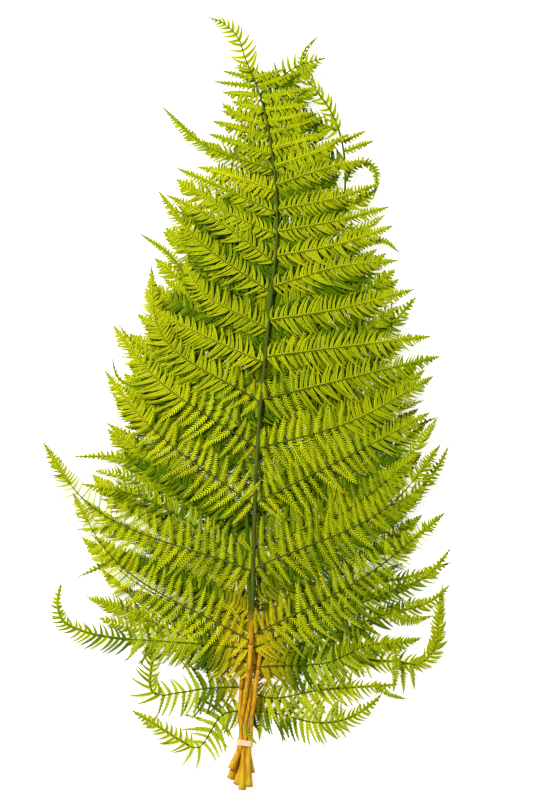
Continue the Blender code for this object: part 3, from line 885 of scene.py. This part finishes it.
# %% [markdown]
# ## One lobed leaflet
# A lobed leaflet is cut nearly to its rib into fingers that point forward. Each finger is one face
# on top and one below, and both share their outline, so the blade is closed and thin-edged with
# few faces. The fingers are longest near the base and shrink to the tip, and a seeded draw makes
# their lengths a little uneven. The same function makes the toothed leaflets of the loose pinnae,
# whose cuts end half-way to the rib.

# %% One lobed leaflet
RIDGE = 0.035
CUT_DROOP = 0.16
FINGER_DROOP = 0.02
TIP_ROOM = 0.6
STRIP_TAPER = 0.6
FINGER_PLAY = (0.74, 1.06)
HEEL, INNER, OUTER = 0.56, 0.06, 0.34


def cut_leaflet(name, bend, fingers, strip, lean, sickle):
    """A leaflet cut into fingers. strip is the half width of the uncut blade along its rib."""
    build, marks, spot = new_blade(bend, sickle, CUT_DROOP)
    pitch = 1.0 / (fingers + TIP_ROOM)
    draw = random.Random(f"{fingers} {bend}")
    top = [spot(i * pitch, 0, RIDGE, 0.0) for i in range(fingers + 1)]
    under = [spot(i * pitch, 0, -RIDGE, 0.0) for i in range(fingers + 1)]
    tip = spot(1.0, 0, 0, 0.5)
    for way in (1, -1):
        deep = [way * strip * (1 - STRIP_TAPER * i / fingers) for i in range(fingers + 1)]
        notches = [spot(i * pitch, deep[i], 0, 0.3) for i in range(fingers + 1)]
        for i in range(fingers):
            middle = (i + 0.5) * pitch
            out = 0.5 * min(1.0, 0.66 + 2.4 * middle) * (1 - middle**1.9) ** 0.85
            out *= draw.uniform(*FINGER_PLAY)
            forward = i * pitch + lean * out
            heel = spot((i + HEEL) * pitch, deep[i], 0, 0.3)
            inner = spot(forward + INNER * pitch, way * out * 0.9, -FINGER_DROOP, 1.0)
            outer = spot(forward + OUTER * pitch, way * out, -FINGER_DROOP, 1.0)
            edge = [notches[i], inner, outer, heel, notches[i + 1]]
            for ridge in (top, under):
                build.faces.new([ridge[i], *edge, ridge[i + 1]])
        for ridge in (top, under):
            build.faces.new([ridge[-1], notches[-1], tip])
        build.faces.new([top[0], notches[0], under[0]])
    return marked_mesh(name, build, marks)


for bend in (LEFT, RIGHT):
    shapes["lobed"][bend] = cut_leaflet(f"lobed_{bend}", bend, fingers=12, strip=0.065,
                                        lean=0.19, sickle=0.3)
    shapes["toothed"][bend] = cut_leaflet(f"toothed_{bend}", bend, fingers=7, strip=0.29,
                                          lean=0.12, sickle=0.7)
print("faces of a lobed leaflet:", len(shapes["lobed"][LEFT].data.polygons))

# %% [markdown]
# ## Leaflets by Geometry Nodes
# Thousands of leaflets stand on the ribs. Placing them in code would work, but a node tree says
# it once: turn the lines into curves, and at each point put one leaflet below the rib and one
# above, turned by the curve's tangent. Each leaflet leans a little differently. A tree can't
# mirror a leaflet without turning it inside out, so each side has its own, and the tree makes four
# branches: left and right pinnae, below and above the rib.

# %% Helpers for node trees
def put(tree, kind, **given):
    """A node. Names in small letters are its settings, i0 is its first input, others are inputs."""
    made = tree.nodes.new(kind)
    for label, value in given.items():
        number = label[1:]
        if label[0].islower() and not number.isdigit():
            setattr(made, label, value)
            continue
        socket = made.inputs[int(number) if number.isdigit() else label]
        if isinstance(value, bpy.types.NodeSocket):
            tree.links.new(value, socket)
        else:
            socket.default_value = value
    return made


def start_tree(name, inputs):
    """A geometry tree with named inputs, its input sockets and the curves along its lines."""
    tree = bpy.data.node_groups.new(name, "GeometryNodeTree")
    tree.is_modifier = True
    for label, kind in {"Geometry": "Geometry", **inputs, "Finish": "Material"}.items():
        tree.interface.new_socket(label, in_out="INPUT", socket_type=f"NodeSocket{kind}")
    tree.interface.new_socket("Geometry", in_out="OUTPUT", socket_type="NodeSocketGeometry")
    entry = tree.nodes.new("NodeGroupInput").outputs
    return tree, entry, put(tree, "GeometryNodeMeshToCurve", Mesh=entry["Geometry"]).outputs[0]


def end_tree(tree, entry, geometry):
    """Makes all instances real, gives them their finish and ends the tree."""
    real = put(tree, "GeometryNodeRealizeInstances", Geometry=geometry)
    finished = put(tree, "GeometryNodeSetMaterial", Geometry=real.outputs[0],
                   Material=entry["Finish"])
    put(tree, "NodeGroupOutput", i0=finished.outputs[0])
    print("nodes in the tree:", len(tree.nodes))
    return tree


def attribute(tree, label):
    made = put(tree, "GeometryNodeInputNamedAttribute", data_type="FLOAT", Name=label)
    return made.outputs["Attribute"]


def calculate(tree, operation, a, b=0.0):
    return put(tree, "ShaderNodeMath", operation=operation, i0=a, i1=b).outputs[0]


def times(tree, a, b):
    return calculate(tree, "MULTIPLY", a, b)


def plus(tree, a, b):
    return calculate(tree, "ADD", a, b)


def vector_math(tree, operation, a, b=(0.0, 0.0, 0.0)):
    return put(tree, "ShaderNodeVectorMath", operation=operation, i0=a, i1=b).outputs["Vector"]


def scaled(tree, vector, factor):
    made = put(tree, "ShaderNodeVectorMath", operation="SCALE", i0=vector, Scale=factor)
    return made.outputs["Vector"]


def drawn(tree, low, high, seed):
    """A random number for each point."""
    made = put(tree, "FunctionNodeRandomValue", data_type="FLOAT", i2=low, i3=high, i8=seed)
    return made.outputs[1]


def swing(tree, most, seed):
    """A random number for each point, from minus the most to the most."""
    return times(tree, most, drawn(tree, -1.0, 1.0, seed))


def combined(tree, x, y, z):
    return put(tree, "ShaderNodeCombineXYZ", i0=x, i1=y, i2=z).outputs[0]


print("tree helpers are ready")

# %% The leaflet tree
UP = (0.0, 0.0, 1.0)
LENGTH_PLAY = (0.90, 1.08)
WIDTH_PLAY = (0.88, 1.08)


def leaflet_branch(tree, entry, points, side, way):
    """Leaflets on one side of the ribs of the left or the right pinnae. way is 1 above the rib."""
    seed = 10 * (side + 2) + way
    label = "High" if way > 0 else "Low"
    tangent = tree.nodes.new("GeometryNodeInputTangent").outputs[0]
    sideways = scaled(tree, vector_math(tree, "CROSS_PRODUCT", UP, tangent), side * way)
    angle = plus(tree, entry[f"{label} angle"], swing(tree, entry["Play"], seed))
    forward = scaled(tree, tangent, calculate(tree, "COSINE", angle))
    outward = scaled(tree, sideways, calculate(tree, "SINE", angle))
    lift = times(tree, entry["Roll"], float(way))
    upward = scaled(tree, UP, plus(tree, lift, swing(tree, entry["Lean"], seed + 3)))
    direction = vector_math(tree, "ADD", vector_math(tree, "ADD", forward, outward), upward)
    twist = scaled(tree, tangent, swing(tree, entry["Twist"], seed + 5))
    rotation = put(tree, "FunctionNodeAxesToRotation", primary_axis="X", secondary_axis="Z",
                   i0=direction, i1=vector_math(tree, "ADD", UP, twist))
    reach = attribute(tree, f"{label.lower()}_reach")
    length = calculate(tree, "DIVIDE", reach, calculate(tree, "SINE", angle))
    length = times(tree, length, drawn(tree, *LENGTH_PLAY, seed + 7))
    width = times(tree, attribute(tree, "width"), drawn(tree, *WIDTH_PLAY, seed + 9))
    chosen = put(tree, "FunctionNodeCompare", data_type="FLOAT", operation="GREATER_THAN",
                 i0=times(tree, attribute(tree, "side"), float(side)), i1=0.0)
    bend = "Bends right" if side * way > 0 else "Bends left"
    shape = put(tree, "GeometryNodeObjectInfo", transform_space="ORIGINAL", Object=entry[bend])
    made = put(tree, "GeometryNodeInstanceOnPoints", Points=points,
               Selection=chosen.outputs[0], Instance=shape.outputs["Geometry"],
               Rotation=rotation.outputs[0], Scale=combined(tree, length, width, width))
    return made.outputs[0]


def leaflet_tree():
    tree, entry, points = start_tree("leaflets along ribs", {
        "Bends left": "Object",
        "Bends right": "Object",
        "Low angle": "Float",
        "High angle": "Float",
        "Play": "Float",
        "Roll": "Float",
        "Lean": "Float",
        "Twist": "Float",
        "Seed": "Int",
    })
    join = tree.nodes.new("GeometryNodeJoinGeometry")
    for side in (LEFT, RIGHT):
        for way in (1, -1):
            tree.links.new(leaflet_branch(tree, entry, points, side, way), join.inputs[0])
    tone = plus(tree, attribute(tree, "tone"), drawn(tree, -0.5, 0.5, entry["Seed"]))
    toned = put(tree, "GeometryNodeStoreNamedAttribute", data_type="FLOAT", domain="INSTANCE",
                Geometry=join.outputs[0], Name="tone", Value=tone)
    return end_tree(tree, entry, toned.outputs[0])


leaflets_along_ribs = leaflet_tree()

# %% [markdown]
# ## Ribs by Geometry Nodes
# A rib is a round rod that thins to its tip. A curve object with a bevel would do, but the tree
# takes all ribs of a frond at once, with the radius of each vertex as an attribute, and closes the
# ends. The same tree draws rachises, costae and stipes.

# %% The rib tree
def rib_tree():
    tree, entry, curves = start_tree("round ribs", {"Sides": "Int"})
    ring = put(tree, "GeometryNodeCurvePrimitiveCircle", Resolution=entry["Sides"], Radius=1.0)
    rods = put(tree, "GeometryNodeCurveToMesh", i0=curves, i1=ring.outputs[0],
               i2=attribute(tree, "radius_here"), i3=True)
    soft = put(tree, "GeometryNodeSetShadeSmooth", i0=rods.outputs[0])
    return end_tree(tree, entry, soft.outputs[0])


round_ribs = rib_tree()

# %% [markdown]
# ## Wings by Geometry Nodes
# The plain leaflets of this fern aren't cut quite down to their rib: a narrow strip of leaf joins
# them. The tree sweeps a flat diamond along the ribs, with its broad side level.

# %% The wing tree
def wing_tree():
    tree, entry, curves = start_tree("wings along ribs", {"Flatness": "Float"})
    level = put(tree, "GeometryNodeSetCurveNormal", mode="Z_UP", Curve=curves)
    ring = put(tree, "GeometryNodeCurvePrimitiveCircle", Resolution=4, Radius=1.0)
    flat = put(tree, "GeometryNodeTransform", Geometry=ring.outputs[0],
               Scale=combined(tree, 1.0, entry["Flatness"], 1.0))
    blades = put(tree, "GeometryNodeCurveToMesh", i0=level.outputs[0], i1=flat.outputs[0],
                 i2=attribute(tree, "half_width"), i3=True)
    return end_tree(tree, entry, blades.outputs[0])


wings_along_ribs = wing_tree()

# %% [markdown]
# ## From a tree to a plain piece
# A tree runs as a modifier on a mesh of bare lines. Its inputs are set by the sockets' identifiers
# before Blender first evaluates it, and the evaluated result is kept as a plain mesh, so that
# nothing live is left on the piece. Only the attributes that the materials read are kept.

# %% From a tree to a plain piece
KEPT = {"tone", "across", "radius_here", "sharp_face", "material_index"}


def lines_object(lines, floats):
    """A mesh of open lines whose vertices carry named numbers. Places are in mm."""
    mesh = bpy.data.meshes.new("lines")
    spots = [spot for line in lines for spot in line]
    edges = []
    first = 0
    for line in lines:
        edges += [(first + i, first + i + 1) for i in range(len(line) - 1)]
        first += len(line)
    mesh.from_pydata([spot["place"] * MM for spot in spots], edges, [])
    for label, unit in floats.items():
        mesh.attributes.new(label, "FLOAT", "POINT")
        mesh.attributes[label].data.foreach_set("value", [spot[label] * unit for spot in spots])
    return placed("lines", mesh)


def grown(lines, tree, settings, name):
    """The plain mesh that a tree makes from a lines object, which is then removed."""
    modifier = lines.modifiers.new("grow", "NODES")
    modifier.node_group = tree
    for item in tree.interface.items_tree:
        if item.item_type == "SOCKET" and item.in_out == "INPUT" and item.name in settings:
            modifier[item.identifier] = settings[item.name]
    bpy.context.view_layer.update()
    evaluated = lines.evaluated_get(bpy.context.evaluated_depsgraph_get())
    mesh = bpy.data.meshes.new_from_object(evaluated)
    mesh.name = name
    bpy.data.objects.remove(lines)
    for label in [a.name for a in mesh.attributes if not a.is_internal and not a.is_required]:
        if label not in KEPT:
            mesh.attributes.remove(mesh.attributes[label])
    return placed(name, mesh)


def triangles(piece):
    piece.data.calc_loop_triangles()
    return len(piece.data.loop_triangles)


print("kept attributes:", sorted(KEPT))

# %% [markdown]
# ## Leaf material
# Fresh fern is a bright yellow-green, and no two leaflets match: each has its own tone, from
# yellow to deeper green. A leaflet has another colour along its rib, partly the rib's own and
# partly painted shade in its groove, and a painted highlight makes it yellower at its edge. Deep in
# the bunch a painted shade turns the leaves dark green, round the top of the stalks they have
# turned gold, and painted light makes the leaves brighter towards the lamp on the left. The blade
# is nearly matt. All of this comes from the mesh's attributes, its place and a fine noise.

# %% Helpers for materials
def mix_colours(tree, share, a, b):
    return put(tree, "ShaderNodeMix", data_type="RGBA", i0=share, i6=a, i7=b).outputs[2]


def mapped(tree, value, low, high, out_low=0.0, out_high=1.0):
    return put(tree, "ShaderNodeMapRange", i0=value, i1=low, i2=high, i3=out_low,
               i4=out_high).outputs[0]


def mark(tree, label):
    """A number that the mesh carries."""
    return put(tree, "ShaderNodeAttribute", attribute_name=label).outputs["Fac"]


def object_place(tree):
    return tree.nodes.new("ShaderNodeTexCoord").outputs["Object"]


def axes(tree):
    """Where a point lies, as x, y and z in metres."""
    return put(tree, "ShaderNodeSeparateXYZ", i0=object_place(tree)).outputs


def noise(tree, scale, detail=2.0, stretch=(1.0, 1.0, 1.0)):
    turned = put(tree, "ShaderNodeMapping", Vector=object_place(tree), Scale=stretch)
    return put(tree, "ShaderNodeTexNoise", Vector=turned.outputs[0], Scale=scale,
               Detail=detail).outputs[0]


def coat(tree, shader, colour, roughness, specular, relief=None):
    """Links the colour to the shader, and sets how it shines and its relief."""
    tree.links.new(colour, shader.inputs["Base Color"])
    set_inputs(shader, {"Roughness": roughness, "Specular IOR Level": specular})
    if relief is not None:
        bump = put(tree, "ShaderNodeBump", Strength=0.4, Distance=0.0004, Height=relief)
        tree.links.new(bump.outputs[0], shader.inputs["Normal"])


print("material helpers are ready")

# %% Leaf material
PAINTED_SHADE_GREEN = (0.064, 0.124, 0.001, 1)
GOLD = (0.66, 0.50, 0.01, 1)
FROM_LEFT = (-0.15, 0.15, 0.14, -0.10)
GOLD_X = (0.045, 0.008, 0.0, 0.8)
GOLD_ABOVE = (-0.17, -0.225)
GOLD_BELOW = (-0.32, -0.27)


def leaf_material(name, rib, rib_reach, deep, bright, edge):
    made, tree, shader = shader_material(name)
    tone = mapped(tree, mark(tree, "tone"), -0.8, 0.8)
    patch = mapped(tree, noise(tree, 28.0), 0.3, 0.7)
    share = plus(tree, times(tree, tone, 0.6), times(tree, patch, 0.4))
    x, y, _ = axes(tree)
    # Painted light: the leaves are mixed brighter towards the left, the lamp's side, and deeper
    # green towards the right.
    colour = mix_colours(tree, plus(tree, share, mapped(tree, x, *FROM_LEFT)), deep, bright)
    across = mark(tree, "across")
    # Along the rib: partly the rib's own colour and partly painted shade in the blade's groove.
    colour = mix_colours(tree, mapped(tree, across, 0.0, rib_reach, 0.8, 0.0), colour, rib)
    # Painted highlight: the edge turns a light yellow, as where a curled margin catches the light.
    colour = mix_colours(tree, mapped(tree, across, 0.6, 1.0, 0.0, 0.6), colour, edge)
    # Painted shade: a very low tone turns the leaf to the dark green of shade deep in the bunch.
    inner = mapped(tree, mark(tree, "tone"), -0.5, -1.3)
    colour = mix_colours(tree, inner, colour, PAINTED_SHADE_GREEN)
    from_axis = calculate(tree, "ABSOLUTE", plus(tree, x, -0.004))
    heart = times(tree, mapped(tree, y, *GOLD_ABOVE), mapped(tree, y, *GOLD_BELOW))
    gold_share = times(tree, mapped(tree, from_axis, *GOLD_X), heart)
    colour = mix_colours(tree, gold_share, colour, GOLD)
    grain = mapped(tree, noise(tree, 900.0, 3.0), 0.35, 0.65, 0.8, 1.2)
    coat(tree, shader, scaled(tree, colour, grain), roughness=0.5, specular=0.02,
         relief=noise(tree, 1100.0, 2.0))
    return made


plain_leaf = leaf_material(
    "plain fern leaf", rib=(0.10, 0.17, 0.004, 1), rib_reach=0.5, deep=(0.25, 0.33, 0.001, 1),
    bright=(0.48, 0.50, 0.002, 1), edge=(0.62, 0.63, 0.016, 1))
lobed_leaf = leaf_material(
    "lobed fern leaf", rib=(0.28, 0.34, 0.04, 1), rib_reach=0.25, deep=(0.34, 0.44, 0.001, 1),
    bright=(0.61, 0.63, 0.002, 1), edge=(0.74, 0.75, 0.014, 1))
print("made", plain_leaf.name, "and", lobed_leaf.name)

# %% [markdown]
# ## Rib material
# The rachis and the costae are greyer and darker than the leaf, with fine lengthwise streaks. The
# thin costae of the lower fronds are a deeper green. One function makes both from their colours.
# The lowest part of a thick rachis turns to the straw of its stalk, so that no seam shows.

# %% Rib material
STRAW_DARK = (0.36, 0.15, 0.004, 1)
STRAW_LIGHT = (0.80, 0.45, 0.02, 1)
TOWARDS_TIP = (-0.05, 0.30)
THICK = (0.0012, 0.0017)
LOW = (-0.205, -0.232)


def straw_colour(tree):
    """Dark and light lengthwise streaks of dry straw, partly its own and partly painted shade and
    painted highlight: the dark colour is a stalk's shaded side and the light one its lit side.
    """
    streak = mapped(tree, noise(tree, 130.0, 3.0, (6.0, 0.25, 6.0)), 0.35, 0.65)
    return mix_colours(tree, streak, STRAW_DARK, STRAW_LIGHT)


def rib_material(name, dark, light, tip):
    made, tree, shader = shader_material(name)
    streak = mapped(tree, noise(tree, 60.0, 3.0, (6.0, 1.0, 6.0)), 0.3, 0.7)
    colour = mix_colours(tree, streak, dark, light)
    y = axes(tree)[1]
    colour = mix_colours(tree, mapped(tree, y, *TOWARDS_TIP), colour, tip)
    thick = mapped(tree, mark(tree, "radius_here"), *THICK)
    straw_share = times(tree, thick, mapped(tree, y, *LOW))
    colour = mix_colours(tree, straw_share, colour, straw_colour(tree))
    coat(tree, shader, colour, roughness=0.5, specular=0.04)
    return made


rib_grey = rib_material("grey-green rib", dark=(0.040, 0.062, 0.006, 1),
                        light=(0.10, 0.125, 0.016, 1), tip=(0.055, 0.10, 0.006, 1))
rib_deep = rib_material("deep green rib", dark=(0.028, 0.070, 0.001, 1),
                        light=(0.07, 0.13, 0.002, 1), tip=(0.04, 0.10, 0.002, 1))
print("made", rib_grey.name, "and", rib_deep.name)

# %% [markdown]
# ## Grow the fronds
# Every frond gets two pieces: its leaflets, and its ribs with the rachis. Both stand for the same
# node of the model and ride on its one body. The table gives each kind of leaflet its angle to the
# rib in degrees, below and above it, and its material.

# %% Leaflets of a frond
LEAFLETS = {
    "lobed": (78, 80, lobed_leaf),
    "toothed": (74, 78, lobed_leaf),
    "plain": (66, 78, plain_leaf),
    "short": (76, 80, plain_leaf),
    "under": (70, 75, plain_leaf),
}
LOOSENESS = {"Play": 0.21, "Roll": 0.05, "Lean": 0.20, "Twist": 0.45}
WING_FLATNESS = 0.2
SETTLE_BELOW = 1.2
LEAST_HEIGHT = 0.1


def stands_for(piece, node):
    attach(piece, "root")
    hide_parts(node)


def joined(objects, name):
    """One mesh object from several, with their attributes."""
    bpy.ops.object.select_all(action="DESELECT")
    for piece in objects:
        piece.select_set(True)
    bpy.context.view_layer.objects.active = objects[0]
    bpy.ops.object.join()
    objects[0].name = name
    return objects[0]


def settle(piece):
    """Leaf that would hang below the surface is pressed flat on it, in its order of height."""
    room = (SETTLE_BELOW - LEAST_HEIGHT) * MM
    for vertex in piece.data.vertices:
        below = SETTLE_BELOW * MM - vertex.co.z
        if below > 0:
            vertex.co.z = LEAST_HEIGHT * MM + room * math.exp(-below / room)


def leaf_piece(number):
    parts = []
    carried = {"side": 1.0, "low_reach": MM, "high_reach": MM, "width": MM, "tone": 1.0}
    for kind, (low_angle, high_angle, finish) in LEAFLETS.items():
        lines = [line for line in leaf_lines[number][kind] if len(line) > 1]
        if not lines:
            continue
        parts.append(grown(lines_object(lines, carried), leaflets_along_ribs, {
            "Bends left": shapes[kind][LEFT],
            "Bends right": shapes[kind][RIGHT],
            "Low angle": math.radians(low_angle),
            "High angle": math.radians(high_angle),
            "Seed": number,
            "Finish": finish,
            **LOOSENESS,
        }, f"{kind}_{number}"))
    lines = [line for line in leaf_lines[number]["wing"] if len(line) > 1]
    source = lines_object(lines, {"half_width": MM, "tone": 1.0, "across": 1.0})
    settings = {"Flatness": WING_FLATNESS, "Finish": plain_leaf}
    parts.append(grown(source, wings_along_ribs, settings, f"wings_{number}"))
    piece = joined(parts, f"frond_{number}_leaflets")
    settle(piece)
    return piece


print("kinds of leaflet:", sorted(LEAFLETS))

# %% Grow the fronds
RACHIS_RADII = (2.2, 0.5)
RACHIS_STEP = 8.0
COSTA_RADII = (0.4, 0.95)
COSTA_FULL = 200.0
COSTA_TIP_RADIUS = 0.25
COSTA_STEP = 7.0
COSTA_SHORT = 1.0
TIP_STEP = 4.0
COLOUR_GAP = 0.3
RIB_SIDES = 8
THINNING = 1.6


def rod_line(way, level, first, last, step, base_radius, tip_radius):
    """A line of spots with radii along a way, in a layer, or at the way's own height."""
    steps = max(2, round((last - first) / step))
    line = []
    for i in range(steps + 1):
        share = i / steps
        spot = way.at(blend(first, last, share))
        height = spot.z if level is None else sheet_height(level, spot.x, spot.y)
        line.append({
            "place": Vector((spot.x, spot.y, height)),
            "radius_here": blend(base_radius, tip_radius, share**THINNING),
        })
    return line


def costa_line(way, level, step, radius):
    return rod_line(way, level, 0.0, way.length - COSTA_SHORT, step, radius, COSTA_TIP_RADIUS)


def rib_piece(number, route, start):
    first = start + COLOUR_GAP / 2
    lines = [rod_line(route, None, first, route.length, RACHIS_STEP, *RACHIS_RADII)]
    for _, _, way, _ in pinnae[number]:
        radius = blend(*COSTA_RADII, min(1.0, way.length / COSTA_FULL))
        lines.append(costa_line(way, level_of(number), COSTA_STEP, radius))
    for owner, level, _, points in LOOSE_TIPS:
        if owner == number:
            lines.append(costa_line(flat_way(points), level, TIP_STEP, COSTA_RADII[0]))
    settings = {"Sides": RIB_SIDES, "Finish": rib_grey if number == 1 else rib_deep}
    source = lines_object(lines, {"radius_here": MM})
    return grown(source, round_ribs, settings, f"frond_{number}_ribs")


for number, (route, start) in stem_ways.items():
    leaves = leaf_piece(number)
    ribs = rib_piece(number, route, start)
    stands_for(leaves, f"frond_{number}")
    stands_for(ribs, f"frond_{number}")
    print(f"frond {number}: {triangles(leaves)} triangles of leaf, {triangles(ribs)} of rib")

# %% [markdown]
# ## Stipes
# The bare stalks are straw-coloured, with dark and light streaks lengthwise, partly their own and
# partly painted shade and painted highlight, and a little relief.
# They are drawn by the rib tree with more sides, and flare below the band to nearly twice their
# thickness at the cut, where the material turns to a duller yellow.

# %% Stipes
CUT_YELLOW = (0.55, 0.42, 0.015, 1)
AT_CUT = (-0.352, -0.384, 0.0, 0.35)
FLARE = 1.8
FLARED = 12
STIPE_STEP = 4.0
STIPE_SIDES = 16


def stipe_material():
    made, tree, shader = shader_material("straw stalk")
    at_cut = mapped(tree, axes(tree)[1], *AT_CUT)
    colour = mix_colours(tree, at_cut, straw_colour(tree), CUT_YELLOW)
    coat(tree, shader, colour, roughness=0.42, specular=0.12,
         relief=noise(tree, 200.0, 2.0, (6.0, 0.2, 6.0)))
    return made


straw = stipe_material()
for number, (route, start) in stem_ways.items():
    last = start - COLOUR_GAP / 2
    line = rod_line(route, None, 0.0, last, STIPE_STEP, STIPE_RADIUS, STIPE_RADIUS)
    for i, spot in enumerate(line[:FLARED]):
        flare = FLARE * (1 - i / FLARED) ** THINNING
        spot["radius_here"] += flare
        spot["place"].z += flare
    settings = {"Sides": STIPE_SIDES, "Finish": straw}
    source = lines_object([line], {"radius_here": MM})
    stipe = grown(source, round_ribs, settings, f"stipe_{number}_stalk")
    stands_for(stipe, f"stipe_{number}")
    print(f"stipe {number}: {triangles(stipe)} triangles")

# %% [markdown]
# ## Rubber band
# The band is a flat cream ring of stretched rubber. The model's own solid has the right shape, so
# it stays and only gets a finer material, with lines round it from a stretched noise.

# %% Rubber band
BAND_DARK = (0.78, 0.51, 0.25, 1)
BAND_LIGHT = (0.98, 0.72, 0.42, 1)


def band_material():
    made, tree, shader = shader_material("cream rubber")
    line = mapped(tree, noise(tree, 300.0, 2.0, (0.3, 4.0, 0.3)), 0.35, 0.65)
    colour = mix_colours(tree, line, BAND_DARK, BAND_LIGHT)
    coat(tree, shader, colour, roughness=0.6, specular=0.5)
    return made


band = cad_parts["tie_band"]
band_finish = band_material()
for slot in band.material_slots:
    slot.material = band_finish
print("band triangles:", triangles(band))
